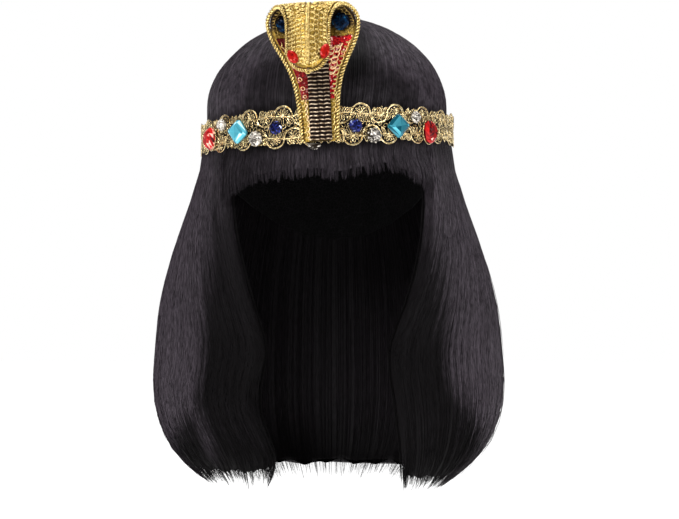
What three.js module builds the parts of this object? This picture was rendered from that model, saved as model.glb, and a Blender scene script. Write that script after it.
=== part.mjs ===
// A black bob wig with a full fringe; its filigree headband is set with stones and carries a rearing cobra.
// Millimetres, +Z up, the face opening towards -Y. Left and right are as seen from the front.
// The origin is the head's seat: the top of the head, inside the cap.
import * as THREE from "three";
import { mergeVertices } from "three/addons/utils/BufferGeometryUtils.js";

// Fits
const GAP = 0.3; // between pieces that lie on each other
const SLIT_DEG = 0.3; // between two neighbouring falls of hair
const FRINGE_SLIT_DEG = 0.9; // between the fringe and the side hair

// Crown: a dome of hair from the crown's top down to the seam that the band hides
const CROWN_CENTRE_Z = -55; // level where the dome is widest
const CROWN_RISE = 65; // from there to the top of the hair
const CROWN = { side: 83.5, front: 100, back: 101 }; // half-axes at the widest level
const CROWN_FOOT = { side: 84.5, front: 101, back: 102 }; // half-axes at the seam
const CROWN_THICK = 8; // hair over the cap at the sides
const CROWN_TOP_THICK = 8.5; // and at the top
const CROWN_LOCKS = 20;
const DOME_TILTS = [0, 14, 28, 42, 56, 73, 90].map(THREE.MathUtils.degToRad); // rings, from the top down
const CROWN_LOCK_DEPTH = 0.9;
const SEAM_Z = -74;

// Wig cap: a knitted dome that the hair is sewn to
const CAP_THICK = 1.2;
const CAP_HEM = { front: -80, ear: -104, nape: -146 }; // levels of its edge
const CAP_SECTIONS = [
  { z: -55, side: 75.2, front: 91.7, back: 92.7 },
  { z: -80, side: 75.2, front: 91.7, back: 92.5 },
  { z: -105, side: 74.4, front: 89, back: 88 },
  { z: -150, side: 68, front: 84, back: 77 },
];

// Falls of hair, down from the seam: half-axes of the outline, edge angles of the face opening and hair depth
const FALL_SECTIONS = [
  { drop: 0, side: 85.8, front: 103, back: 103.4, left: 53.5, right: 62, thick: 9.8 },
  { drop: 18, side: 86, front: 101, back: 103.8, left: 53.5, right: 62, thick: 10 },
  { drop: 24, side: 89.2, front: 98, back: 106, left: 53, right: 62, thick: 11 },
  { drop: 42, side: 94.5, front: 92, back: 107.5, left: 49.6, right: 58.4, thick: 12 },
  { drop: 88, side: 110.3, front: 79, back: 111, left: 36, right: 44, thick: 14 },
  { drop: 116, side: 117.4, front: 76, back: 112.5, left: 28.8, right: 35.7, thick: 15 },
  { drop: 148, side: 121, front: 72.5, back: 113.5, left: 22.8, right: 27.8, thick: 16 },
  { drop: 182, side: 122, front: 71, back: 113, left: 26.4, right: 29.4, thick: 16 },
  { drop: 207, side: 115.8, front: 69, back: 109.5, left: 24, right: 32.7, thick: 14 },
  { drop: 225, side: 104.5, front: 66, back: 102, left: 23, right: 37, thick: 11 },
  { drop: 237, side: 91.5, front: 61, back: 92, left: 28, right: 42, thick: 8 },
  { drop: 246, side: 79, front: 55, back: 82, left: 35, right: 48, thick: 4 },
];
const FALL_LENGTH = FALL_SECTIONS.at(-1).drop;
const LOCK_COLUMNS = 4; // outline points to a lock
const LOCK_DEPTH = 2.6; // furrow between two locks, at the ends
const LOCK_POINT = 8; // how far a lock's middle hangs below its sides
const LOCK_STAGGER = 3; // how much the locks' lengths differ
const SIDE_LOCKS = 5;
const BACK_LOCKS = 8;
const SIDE_TO_BACK_DEG = 98; // where the side hair ends and the back hair begins

// Fringe: a short fall across the forehead, whose hem dips to the side hair
const FRINGE_FRONT = 101.5; // reach of its middle
const FRINGE_THICK = { top: 5, hem: 2.5 };
const FRINGE_LOCKS = 11;
const FRINGE_LOCK_DEPTH = 0.9;
const FRINGE_LOCK_POINT = 2;
const FRINGE_ROWS = [0, 0.45, 0.8, 1]; // shares of the way down
const FRINGE_HEM = [
  { across: -1, z: -121 },
  { across: -0.83, z: -116 },
  { across: -0.53, z: -108 },
  { across: -0.3, z: -105.2 },
  { across: -0.05, z: -103.4 },
  { across: 0.18, z: -105.7 },
  { across: 0.31, z: -102.2 },
  { across: 0.55, z: -100.1 },
  { across: 0.7, z: -104 },
  { across: 0.85, z: -110.7 },
  { across: 1, z: -116 },
];

// Headband: a pierced trim with scalloped edges, level with the brow and a little lower on the left
const BAND = { side: 87, front: 104.6, back: 104.8 }; // half-axes of its inner face
const BAND_THICK = 1.8;
const BAND_HEIGHT = { front: 30, side: 23 }; // between the crests of its scallops
const BAND_Z = -74.4;
const BAND_ROLL = THREE.MathUtils.degToRad(2.5); // left side down
const BAND_PITCH = THREE.MathUtils.degToRad(1.8); // front up
const SCALLOPS = 44;
const SCALLOP_DEPTH = 2.4;
const SCALLOP_POINTS = 3;
const EYELET = { level: 7.6, halfWidth: 4.4, halfHeight: 3.2, points: 6 };
const EYELET_CLEAR = 2.5; // an eyelet nearer to a stone than this is left out

// Stones on the band: outline and size, then angle from the front's middle, height on the band and turn
const STONE_CUTS = {
  blue_stone: { cut: "round", width: 9.2, height: 9.2, rise: 3.4, finish: "blue" },
  rhinestone_lower: { cut: "round", width: 9.8, height: 9.8, rise: 4.6, finish: "clear" },
  turquoise_stone: { cut: "lozenge", width: 20, height: 17.8, rise: 4.2, finish: "turquoise" },
  rhinestone_upper: { cut: "round", width: 7.6, height: 7.6, rise: 4.2, finish: "clear" },
  red_stone: { cut: "oval", width: 12.6, height: 15.8, rise: 5.6, finish: "red" },
  rhinestone_base: { cut: "half", width: 9.4, height: 9.4, rise: 2.6, finish: "clear" },
};
const STONE_PLACES = [
  { stone: "blue_stone", name: "blue_stone_left", angle: -17.5, up: -0.2, turnDeg: 0 },
  { stone: "blue_stone", name: "blue_stone_right", angle: 16.9, up: -1.2, turnDeg: 0 },
  { stone: "rhinestone_lower", name: "rhinestone_lower_left", angle: -27.1, up: -6.4, turnDeg: 0 },
  { stone: "rhinestone_lower", name: "rhinestone_lower_right", angle: 25.1, up: -7.8, turnDeg: 0 },
  { stone: "turquoise_stone", name: "turquoise_stone_left", angle: -36.9, up: -0.5, turnDeg: -7 },
  { stone: "turquoise_stone", name: "turquoise_stone_right", angle: 36.8, up: -1.4, turnDeg: 4 },
  { stone: "rhinestone_upper", name: "rhinestone_upper_left", angle: -47.3, up: 5.8, turnDeg: 0 },
  { stone: "rhinestone_upper", name: "rhinestone_upper_right", angle: 46, up: 4.9, turnDeg: 0 },
  { stone: "red_stone", name: "red_stone_left", angle: -56.8, up: -2.2, turnDeg: -12 },
  { stone: "red_stone", name: "red_stone_right", angle: 54.8, up: -4.5, turnDeg: 6 },
  { stone: "rhinestone_base", name: "rhinestone_base", angle: -0.6, up: -11.8, turnDeg: 0 },
];
const STONE_SIDES = { round: 10, oval: 12, lozenge: 8, half: 9, marquise: 10 };
const LOZENGE_CORNER = THREE.MathUtils.degToRad(7); // half the angle that a lozenge's blunted corner takes
const TABLE_SHARE = 0.56; // of a stone's width
const GIRDLE_SHARE = 0.35; // of a stone's rise

// Cobra: a stiff strip that rises from the band, spreads into a hood and hooks over into the head
const COBRA_ANGLE_DEG = 1.8; // where it stands on the band
const COBRA_BASE_Z = -82;
const COBRA_LEAN = THREE.MathUtils.degToRad(-2.8); // top towards the left
const STRIP_THICK = 1.8;
const STRIP_STANDOFF = 1.45; // from the band's face to the strip's middle plane
const STEM_LENGTH = 77;
const HOOK_RADIUS = 13;
const HOOK_BEND = THREE.MathUtils.degToRad(162);
const HOOD_SECTIONS = [
  { along: 0, half: 9.2, cup: -0.5, drift: 0.3 },
  { along: 14, half: 9.8, cup: -0.4, drift: 0.3 },
  { along: 26, half: 10.8, cup: 0.6, drift: 0.2 },
  { along: 38, half: 12.6, cup: 1.6, drift: 0.2 },
  { along: 48, half: 15.6, cup: 2.6, drift: 0.2 },
  { along: 57, half: 19.8, cup: 3.6, drift: 0.2 },
  { along: 66, half: 24.4, cup: 4.2, drift: 0 },
  { along: 75, half: 27.4, cup: 4, drift: -0.4 },
  { along: 84, half: 27, cup: 2, drift: -0.8 },
  { along: 93, half: 21.5, cup: 0.4, drift: -1.4 },
  { along: 102, half: 15.8, cup: 0.8, drift: -2.2 },
  { along: 112, half: 12.4, cup: 2.4, drift: -2.9 },
  { along: 124, half: 11.6, cup: 3.4, drift: -3.4 },
  { along: 136, half: 11.4, cup: 3.6, drift: -3.6 },
  { along: 141, half: 10.2, cup: 3.2, drift: -3.7 },
  { along: 144.9, half: 8, cup: 2.6, drift: -3.8 },
  { along: 147.9, half: 4.7, cup: 2, drift: -3.9 },
  { along: 149.3, half: 1.5, cup: 1.4, drift: -3.9 },
];
const HOOD_ACROSS = 8; // facets across the strip
const BRAID_RADIUS = 1.6;
const BRAID_SIDES = 5;
const BRAID_STEPS = 96;
const BRAID_CLEAR = 0.75; // between the strip's edge and the braid
const LINING = { from: 28, to: 69, half: 0.94, thick: 0.7, rows: 8, columns: 6 };
const LADDER = { from: 0.5, to: 64, width: 14.6, aside: 1.3, plate: 1, ribRise: 1.1, pitch: 2.6 };
const LADDER_RIB_SHARE = 0.55; // of the pitch
const LADDER_CLEAR = 1.1; // behind the plate, where the lining is cupped
const EYE = { lift: 1, width: 7, height: 11.6, rise: 2.4 };
const EYE_PLACES = [
  { name: "eye_left", along: 141.4, out: -9.6, slantDeg: 14 },
  { name: "eye_right", along: 138.4, out: 11, slantDeg: -8 },
];
const HOOD_STONE = { along: 79.2, out: 18.6, lift: 1.8, width: 11.6, height: 11.6, rise: 3.6 };

const rad = THREE.MathUtils.degToRad;
const lerp = THREE.MathUtils.lerp;

const FINISH = {
  hair: { color: 0x17131a, roughness: 0.45, metalness: 0 },
  net: { color: 0x0d0c0e, roughness: 0.9, metalness: 0 },
  gold: { color: 0xc9a24a, roughness: 0.35, metalness: 0.9 },
  braid: { color: 0xd8bf63, roughness: 0.45, metalness: 0.7 },
  red: { color: 0xb3141f, roughness: 0.4, metalness: 0 },
  blue: { color: 0x1b2a9c, roughness: 0.15, metalness: 0 },
  turquoise: { color: 0x38a9cf, roughness: 0.15, metalness: 0 },
  clear: { color: 0xd9dadd, roughness: 0.12, metalness: 0.2 },
  teal: { color: 0x0b2f4a, roughness: 0.15, metalness: 0 },
};

const wig = new THREE.Group();

function part(name, geometry, finish, parent = wig) {
  const mesh = new THREE.Mesh(geometry, new THREE.MeshStandardMaterial(FINISH[finish]));
  mesh.name = name;
  parent.add(mesh);
  return mesh;
}

// Row of a table at a value of its key column, with every other column interpolated
function rowAt(table, key, value) {
  const last = table.length - 1;
  const found = table.findIndex((row) => (table[last][key] - table[0][key]) * (row[key] - value) >= 0);
  const i = Math.max(1, found < 0 ? last : found);
  const [a, b] = [table[i - 1], table[i]];
  const share = THREE.MathUtils.clamp((value - a[key]) / (b[key] - a[key]), 0, 1);
  return Object.fromEntries(Object.keys(a).map((column) => [column, lerp(a[column], b[column], share)]));
}

function evenly(from, to, spans) {
  return Array.from({ length: spans + 1 }, (_, i) => lerp(from, to, i / spans));
}

// Closed geometry from vertices and triangles
function closed(points, triangles) {
  const geometry = new THREE.BufferGeometry().setFromPoints(points).setIndex(triangles);
  return mergeVertices(geometry, 1e-4);
}

// A wall between two grids of points. Rows run down, columns run from the front towards +X.
// With ring, the last column meets the first; a first row of one point is a pole.
function wall(outer, inner, ring) {
  const points = [...outer.flat(), ...inner.flat()];
  const rows = outer.length;
  const columns = outer[1].length;
  const start = outer.map((_, i) => outer.slice(0, i).flat().length);
  const shift = outer.flat().length;
  const at = (i, j) => start[i] + (outer[i].length === 1 ? 0 : j % columns);
  const triangles = [];
  const quad = (a, b, c, d) => triangles.push(a, b, c, a, c, d);
  const spans = ring ? columns : columns - 1;
  for (let i = 0; i + 1 < rows; i++) {
    for (let j = 0; j < spans; j++) {
      const [a, b, c, d] = [at(i, j), at(i + 1, j), at(i + 1, j + 1), at(i, j + 1)];
      if (a === d) {
        triangles.push(a, b, c, a + shift, c + shift, b + shift);
      } else {
        quad(a, b, c, d);
        quad(a + shift, d + shift, c + shift, b + shift);
      }
    }
    if (!ring) {
      const [first, below] = [at(i, 0), at(i + 1, 0)];
      const [end, endBelow] = [at(i, spans), at(i + 1, spans)];
      quad(first, first + shift, below + shift, below);
      quad(end, endBelow, endBelow + shift, end + shift);
    }
  }
  for (let j = 0; j < spans; j++) {
    const [a, b] = [at(rows - 1, j), at(rows - 1, j + 1)];
    quad(a, a + shift, b + shift, b);
    if (outer[0].length > 1) {
      const [c, d] = [at(0, j), at(0, j + 1)];
      quad(c, d, d + shift, c + shift);
    }
  }
  return closed(points, triangles);
}

// Point of an oval outline, its angle counted from the front towards +X
function oval(phi, { side, front, back }, z, growth = 0) {
  const reach = Math.cos(phi) > 0 ? front : back;
  return new THREE.Vector3((side + growth) * Math.sin(phi), -(reach + growth) * Math.cos(phi), z);
}

// 0 in the furrow between two locks and 1 along a lock's middle
const lockRidge = (share, locks) => Math.abs(Math.sin(Math.PI * locks * share));

// Crown hair and cap

function domeRing(columns, tilt, axes, rise, growth) {
  const z = CROWN_CENTRE_Z + rise * Math.cos(tilt);
  if (tilt === 0) return [new THREE.Vector3(0, 0, z)];
  const scale = Math.sin(tilt);
  const level = { side: axes.side * scale, front: axes.front * scale, back: axes.back * scale };
  return Array.from({ length: columns }, (_, j) => {
    return oval((2 * Math.PI * j) / columns, level, z, growth(j / columns) * scale);
  });
}

function crownHair() {
  const columns = CROWN_LOCKS * 2;
  const furrow = (share) => -CROWN_LOCK_DEPTH * (1 - lockRidge(share, CROWN_LOCKS));
  const outer = DOME_TILTS.map((tilt) => domeRing(columns, tilt, CROWN, CROWN_RISE, furrow));
  const inner = DOME_TILTS.map((tilt) => {
    return domeRing(columns, tilt, CROWN, CROWN_RISE - CROWN_TOP_THICK, () => -CROWN_THICK);
  });
  const footZ = SEAM_Z + GAP / 2;
  const angles = Array.from({ length: columns }, (_, j) => (2 * Math.PI * j) / columns);
  outer.push(angles.map((phi, j) => oval(phi, CROWN_FOOT, footZ, furrow(j / columns))));
  inner.push(angles.map((phi) => oval(phi, CROWN, footZ, -CROWN_THICK)));
  return wall(outer, inner, true);
}

function capHem(phi) {
  const towards = Math.cos(phi) > 0 ? CAP_HEM.front : CAP_HEM.nape;
  return lerp(CAP_HEM.ear, towards, Math.abs(Math.cos(phi)) ** 1.5);
}

function wigCap() {
  const columns = CROWN_LOCKS;
  const top = CAP_SECTIONS[0];
  const rise = CROWN_RISE - CROWN_TOP_THICK - GAP;
  const outer = DOME_TILTS.map((tilt) => domeRing(columns, tilt, top, rise, () => 0));
  const inner = DOME_TILTS.map((tilt) => domeRing(columns, tilt, top, rise - CAP_THICK, () => -CAP_THICK));
  for (const share of [0.5, 1]) {
    const rims = [0, -CAP_THICK].map((growth) => {
      return Array.from({ length: columns }, (_, j) => {
        const phi = (2 * Math.PI * j) / columns;
        const z = lerp(CROWN_CENTRE_Z, capHem(phi), share);
        return oval(phi, rowAt(CAP_SECTIONS, "z", z), z, growth);
      });
    });
    outer.push(rims[0]);
    inner.push(rims[1]);
  }
  return wall(outer, inner, true);
}

// Falls of hair

// A fall between two edge angles, in degrees, given for each section
function fall(locks, from, to) {
  const columns = locks * LOCK_COLUMNS;
  const grids = FALL_SECTIONS.map((row) => {
    const down = row.drop / FALL_LENGTH;
    const line = { outer: [], inner: [] };
    for (let j = 0; j <= columns; j++) {
      const share = j / columns;
      const phi = rad(lerp(from(row), to(row), share));
      const furrow = 1 - lockRidge(share, locks);
      const lock = Math.min(locks - 1, Math.floor(share * locks));
      const shorter = LOCK_POINT * furrow + LOCK_STAGGER * Math.sin(2.4 * lock) * (1 - furrow);
      const z = SEAM_Z - GAP / 2 - row.drop * (1 - (down * shorter) / FALL_LENGTH);
      line.outer.push(oval(phi, row, z, -LOCK_DEPTH * furrow * down));
      line.inner.push(oval(phi, row, z, -row.thick));
    }
    return line;
  });
  return wall(grids.map((g) => g.outer), grids.map((g) => g.inner), false);
}

function fringe() {
  const columns = FRINGE_LOCKS * LOCK_COLUMNS;
  const top = SEAM_Z - GAP / 2;
  const grids = FRINGE_ROWS.map((down) => {
    const line = { outer: [], inner: [] };
    for (let j = 0; j <= columns; j++) {
      const across = lerp(-1, 1, j / columns);
      const furrow = 1 - lockRidge(j / columns, FRINGE_LOCKS);
      const hem = rowAt(FRINGE_HEM, "across", across).z + FRINGE_LOCK_POINT * furrow * (1 - across ** 8);
      const z = lerp(top, hem, down);
      const row = rowAt(FALL_SECTIONS, "drop", top - z);
      const reach = (across < 0 ? row.left : row.right) - FRINGE_SLIT_DEG;
      const axes = { side: row.side, front: lerp(FRINGE_FRONT, row.front, across ** 2), back: row.back };
      const thick = lerp(FRINGE_THICK.top, FRINGE_THICK.hem, down);
      line.outer.push(oval(rad(across * reach), axes, z, -FRINGE_LOCK_DEPTH * furrow * down));
      line.inner.push(oval(rad(across * reach), axes, z, -thick));
    }
    return line;
  });
  return wall(grids.map((g) => g.outer), grids.map((g) => g.inner), false);
}

// Headband

// Arc length along the band from the middle of its back, by equal steps of angle
const BAND_STEPS = 720;
const bandArc = [0];
for (let i = 1; i <= BAND_STEPS; i++) {
  const [a, b] = [i - 1, i].map((k) => oval(lerp(-Math.PI, Math.PI, k / BAND_STEPS), BAND, 0));
  bandArc.push(bandArc[i - 1] + a.distanceTo(b));
}
const BAND_LENGTH = bandArc[BAND_STEPS];

function bandAngle(arc) {
  const i = THREE.MathUtils.clamp(bandArc.findIndex((length) => length >= arc), 1, BAND_STEPS);
  const share = (arc - bandArc[i - 1]) / (bandArc[i] - bandArc[i - 1]);
  return lerp(-Math.PI, Math.PI, (i - 1 + share) / BAND_STEPS);
}

function bandArcAt(phi) {
  const step = ((phi + Math.PI) / (2 * Math.PI)) * BAND_STEPS;
  const i = Math.min(BAND_STEPS - 1, Math.floor(step));
  return lerp(bandArc[i], bandArc[i + 1], step - i);
}

// The band's height at an angle, as a share of its height in front
function bandSquash(phi) {
  return lerp(BAND_HEIGHT.side, BAND_HEIGHT.front, Math.max(0, Math.cos(phi)) ** 2) / BAND_HEIGHT.front;
}

// A place on the band: a point out from its inner face, and the way it faces
function bandPlace(phi, up, out) {
  const foot = oval(phi, BAND, 0);
  const reach = Math.cos(phi) > 0 ? BAND.front : BAND.back;
  const facing = new THREE.Vector3(Math.sin(phi) / BAND.side, -Math.cos(phi) / reach, 0).normalize();
  const point = foot.clone().addScaledVector(facing, out);
  point.z = BAND_Z + up + foot.x * Math.tan(BAND_ROLL) - foot.y * Math.tan(BAND_PITCH);
  return { point, facing };
}

// True where an eyelet at this place would lie under a stone's edge
function underStone(arc, up) {
  return STONE_PLACES.some((place) => {
    const { width, height } = STONE_CUTS[place.stone];
    const away = Math.abs(arc - bandArcAt(rad(place.angle)));
    return away < width / 2 + EYELET_CLEAR && Math.abs(up - place.up) < height / 2 + EYELET_CLEAR;
  });
}

// Rim of an eyelet in the middle of a scallop, in the upper row (1) or the lower row (-1)
function eyelet(middle, row) {
  return Array.from({ length: EYELET.points }, (_, i) => {
    const turn = (2 * Math.PI * i) / EYELET.points;
    const up = EYELET.level + EYELET.halfHeight * Math.sin(turn);
    return new THREE.Vector2(middle + EYELET.halfWidth * Math.cos(turn), row * up);
  });
}

// The band is laid out flat, one scallop after another, and bent round its oval as a closed ring
function filigreeBand() {
  const pitch = BAND_LENGTH / SCALLOPS;
  const points = [];
  const triangles = [];
  const vertex = (p, out) => {
    const phi = bandAngle(p.x);
    return points.push(bandPlace(phi, p.y * bandSquash(phi), out).point) - 1;
  };
  const face = (p, q, r, out) => triangles.push(...[p, q, r].map((corner) => vertex(corner, out)));
  const rimWall = (p, q) => {
    const [a, b, c, d] = [vertex(p, 0), vertex(q, 0), vertex(q, BAND_THICK), vertex(p, BAND_THICK)];
    triangles.push(a, b, c, a, c, d);
  };
  for (let k = 0; k < SCALLOPS; k++) {
    const lower = evenly(0, 1, SCALLOP_POINTS).map((share) => {
      const crest = BAND_HEIGHT.front / 2 - SCALLOP_DEPTH * (1 - Math.sin(Math.PI * share));
      return new THREE.Vector2((k + share) * pitch, -crest);
    });
    const upper = lower.toReversed().map((p) => new THREE.Vector2(p.x, -p.y));
    const middle = (k + 0.5) * pitch;
    const rows = [-1, 1].filter((row) => !underStone(middle, row * EYELET.level));
    const holes = rows.map((row) => eyelet(middle, row));
    holes.filter((rim) => !THREE.ShapeUtils.isClockWise(rim)).forEach((rim) => rim.reverse());
    const corners = [...lower, ...upper, ...holes.flat()];
    for (const [i, j, m] of THREE.ShapeUtils.triangulateShape([...lower, ...upper], holes)) {
      face(corners[i], corners[j], corners[m], BAND_THICK);
      face(corners[i], corners[m], corners[j], 0);
    }
    for (const run of [lower, upper]) run.slice(1).forEach((p, i) => rimWall(run[i], p));
    for (const rim of holes) rim.forEach((p, i) => rimWall(p, rim[(i + 1) % rim.length]));
  }
  return closed(points, triangles);
}

// Stones

function girdle(cut, width, height) {
  const sides = STONE_SIDES[cut];
  return Array.from({ length: sides }, (_, i) => {
    const turn = (2 * Math.PI * (i + 0.5)) / sides;
    let x = Math.cos(turn);
    let y = Math.sin(turn);
    if (cut === "lozenge") {
      const corner = (Math.floor(i / 2) * Math.PI) / 2 + (i % 2 ? LOZENGE_CORNER : -LOZENGE_CORNER);
      const along = 1 / (Math.abs(Math.cos(corner)) + Math.abs(Math.sin(corner)));
      x = along * Math.cos(corner);
      y = along * Math.sin(corner);
    } else if (cut === "marquise") {
      x *= Math.abs(x) ** 0.35;
    } else if (cut === "half") {
      const sweep = Math.PI * (1 + i / (sides - 1));
      x = Math.cos(sweep);
      y = Math.sin(sweep);
    }
    return new THREE.Vector2((x * width) / 2, (y * height) / 2);
  });
}

// A flat-backed cut stone: a girdle, a ring of crown facets and a table
function cutStone({ cut, width, height, rise }) {
  const rim = girdle(cut, width, height);
  const middle = rim.reduce((sum, p) => sum.add(p), new THREE.Vector2()).divideScalar(rim.length);
  const count = rim.length;
  const levels = [
    { z: 0, share: 0.96 },
    { z: rise * GIRDLE_SHARE, share: 1 },
    { z: rise, share: TABLE_SHARE },
  ];
  const points = levels.flatMap(({ z, share }) => {
    return rim.map((p) => {
      const q = p.clone().sub(middle).multiplyScalar(share).add(middle);
      return new THREE.Vector3(q.x, q.y, z);
    });
  });
  const triangles = [];
  for (let i = 0; i < count; i++) {
    const next = (i + 1) % count;
    for (const ring of [0, count]) {
      triangles.push(ring + i, ring + next, ring + count + next);
      triangles.push(ring + i, ring + count + next, ring + count + i);
    }
  }
  for (let i = 1; i + 1 < count; i++) {
    triangles.push(0, i + 1, i, 2 * count, 2 * count + i, 2 * count + i + 1);
  }
  return closed(points, triangles);
}

// Lays a piece whose back is z = 0 on a face, with its y as near to up as the face allows
function lay(mesh, point, facing, up, turn = 0) {
  const across = new THREE.Vector3().crossVectors(up, facing).normalize();
  const along = new THREE.Vector3().crossVectors(facing, across);
  mesh.quaternion.setFromRotationMatrix(new THREE.Matrix4().makeBasis(across, along, facing));
  mesh.rotateZ(turn);
  mesh.position.copy(point);
}

const UP = new THREE.Vector3(0, 0, 1);

function setBandStones() {
  for (const { stone, name, angle, up, turnDeg } of STONE_PLACES) {
    const cut = STONE_CUTS[stone];
    const { point, facing } = bandPlace(rad(angle), up, BAND_THICK + GAP);
    lay(part(name, cutStone(cut), cut.finish), point, facing, UP, rad(turnDeg));
  }
}

// Cobra, in its own frame: +X right, -Y forward, +Z up, from the foot of its stem on the band's face

// The strip's middle line in profile and its outer side, which is the back of the stem and the top of the head
function crook(along) {
  const start = -STRIP_STANDOFF;
  const bend = THREE.MathUtils.clamp((along - STEM_LENGTH) / HOOK_RADIUS, 0, HOOK_BEND);
  const stem = Math.min(along, STEM_LENGTH);
  const head = Math.max(0, along - STEM_LENGTH - HOOK_RADIUS * HOOK_BEND);
  const y = start - HOOK_RADIUS * (1 - Math.cos(bend)) - head * Math.sin(bend);
  const z = stem + HOOK_RADIUS * Math.sin(bend) + head * Math.cos(bend);
  return { y, z, outY: Math.cos(bend), outZ: Math.sin(bend) };
}

// A point of the strip at a share of its half-width, raised from its middle plane to its outer side
function strip(share, along, raise) {
  const { half, cup, drift } = rowAt(HOOD_SECTIONS, "along", along);
  const { y, z, outY, outZ } = crook(along);
  const out = raise - cup * share * share;
  return new THREE.Vector3(drift + share * half, y + outY * out, z + outZ * out);
}

// A sheet that follows the strip, between two heights over its middle plane
function stripSheet(alongs, half, columns, low, high) {
  const grid = (raise) => alongs.toReversed().map((along) => {
    return Array.from({ length: columns + 1 }, (_, j) => strip(lerp(half, -half, j / columns), along, raise));
  });
  return wall(grid(high), grid(low), false);
}

function cobraHood() {
  const alongs = HOOD_SECTIONS.map((row) => row.along);
  return stripSheet(alongs, 1, HOOD_ACROSS, -STRIP_THICK / 2, STRIP_THICK / 2);
}

function hoodLining() {
  const { from, to, half, thick, rows, columns } = LINING;
  const face = -STRIP_THICK / 2 - GAP;
  return stripSheet(evenly(from, to, rows), half, columns, face - thick, face);
}

// A cord sewn along the strip's edge, from one foot round the head's tip to the other foot
function hoodBraid() {
  const away = BRAID_RADIUS + BRAID_CLEAR;
  const side = (sign) => HOOD_SECTIONS.map(({ along }) => {
    const edge = strip(sign, along, 0);
    const [a, b] = [-1, 1].map((step) => strip(sign, along + step, 0));
    const run = b.sub(a).normalize();
    const level = strip(sign, along, 0).sub(strip(sign * 0.9, along, 0)).normalize();
    const outward = level.addScaledVector(run, -level.dot(run)).normalize();
    return edge.addScaledVector(outward, away);
  });
  const tipAlong = HOOD_SECTIONS.at(-1).along;
  const { y, z, outY, outZ } = crook(tipAlong + away + 2 * BRAID_CLEAR);
  const { drift, cup } = HOOD_SECTIONS.at(-1);
  const tip = new THREE.Vector3(drift, y - outY * cup * 0.2, z - outZ * cup * 0.2);
  const path = new THREE.CatmullRomCurve3([...side(-1), tip, ...side(1).toReversed()]);
  const section = new THREE.Shape(Array.from({ length: BRAID_SIDES }, (_, i) => {
    const turn = (2 * Math.PI * i) / BRAID_SIDES;
    return new THREE.Vector2(BRAID_RADIUS * Math.cos(turn), BRAID_RADIUS * Math.sin(turn));
  }));
  const sweep = { extrudePath: path, steps: BRAID_STEPS, bevelEnabled: false };
  const tube = new THREE.ExtrudeGeometry(section, sweep);
  tube.deleteAttribute("normal");
  tube.deleteAttribute("uv");
  return mergeVertices(tube, 1e-4);
}

// A plate with cross ribs, up the front of the stem
function bellyLadder() {
  const back = -(STRIP_STANDOFF + STRIP_THICK / 2 + GAP + LINING.thick + LADDER_CLEAR);
  const face = back - LADDER.plate;
  const profile = [new THREE.Vector2(back, LADDER.to), new THREE.Vector2(back, LADDER.from)];
  const ribs = Math.floor((LADDER.to - LADDER.from) / LADDER.pitch);
  for (let k = 0; k < ribs; k++) {
    const low = LADDER.from + k * LADDER.pitch;
    const high = low + LADDER.pitch * LADDER_RIB_SHARE;
    profile.push(new THREE.Vector2(face, low), new THREE.Vector2(face - LADDER.ribRise, lerp(low, high, 0.3)));
    profile.push(new THREE.Vector2(face - LADDER.ribRise, lerp(low, high, 0.7)), new THREE.Vector2(face, high));
  }
  profile.push(new THREE.Vector2(face, LADDER.to));
  const sweep = { depth: LADDER.width, bevelEnabled: false };
  const flat = new THREE.ExtrudeGeometry(new THREE.Shape(profile), sweep);
  const [right, aft, up] = [0, 1, 2].map((i) => new THREE.Vector3().setComponent(i, 1));
  flat.translate(0, 0, LADDER.aside - LADDER.width / 2);
  return flat.applyMatrix4(new THREE.Matrix4().makeBasis(aft, up, right));
}

// Lays a stone on the strip's outer (1) or inner (-1) side
function placeOnStrip(mesh, along, out, lift, side, turn) {
  const { half } = rowAt(HOOD_SECTIONS, "along", along);
  const share = out / half;
  const step = 0.5;
  const point = strip(share, along, side * (STRIP_THICK / 2 + GAP + lift));
  const up = strip(share, along + step, 0).sub(strip(share, along - step, 0)).normalize();
  const across = strip(share + step / half, along, 0).sub(strip(share - step / half, along, 0)).normalize();
  const facing = new THREE.Vector3().crossVectors(up, across).multiplyScalar(side).normalize();
  lay(mesh, point, facing, up.multiplyScalar(-side), turn);
}

function buildCobra() {
  const cobra = new THREE.Group();
  const foot = bandPlace(rad(COBRA_ANGLE_DEG), 0, BAND_THICK).point;
  cobra.position.set(foot.x, foot.y, COBRA_BASE_Z);
  cobra.rotation.set(0, COBRA_LEAN, rad(COBRA_ANGLE_DEG), "ZYX");
  part("cobra_hood", cobraHood(), "gold", cobra);
  part("hood_lining", hoodLining(), "red", cobra);
  part("hood_braid", hoodBraid(), "braid", cobra);
  part("belly_ladder", bellyLadder(), "gold", cobra);
  for (const { name, along, out, slantDeg } of EYE_PLACES) {
    const eye = part(name, cutStone({ ...EYE, cut: "marquise" }), "red", cobra);
    placeOnStrip(eye, along, out, EYE.lift, 1, rad(slantDeg));
  }
  for (const [name, sign] of [["hood_stone_left", -1], ["hood_stone_right", 1]]) {
    const stone = part(name, cutStone({ ...HOOD_STONE, cut: "round" }), "teal", cobra);
    placeOnStrip(stone, HOOD_STONE.along, sign * HOOD_STONE.out, HOOD_STONE.lift, -1, 0);
  }
  wig.add(cobra);
}

part("wig_cap", wigCap(), "net");
part("crown_hair", crownHair(), "hair");
part("fringe", fringe(), "hair");
part("side_hair_right", fall(SIDE_LOCKS, (row) => row.right, () => SIDE_TO_BACK_DEG - SLIT_DEG), "hair");
part("back_hair", fall(BACK_LOCKS, () => SIDE_TO_BACK_DEG, () => 360 - SIDE_TO_BACK_DEG), "hair");
part("side_hair_left", fall(SIDE_LOCKS, () => SLIT_DEG - SIDE_TO_BACK_DEG, (row) => -row.left), "hair");
part("filigree_band", filigreeBand(), "gold");
setBandStones();
buildCobra();

export default wig;
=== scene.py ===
import math

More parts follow.
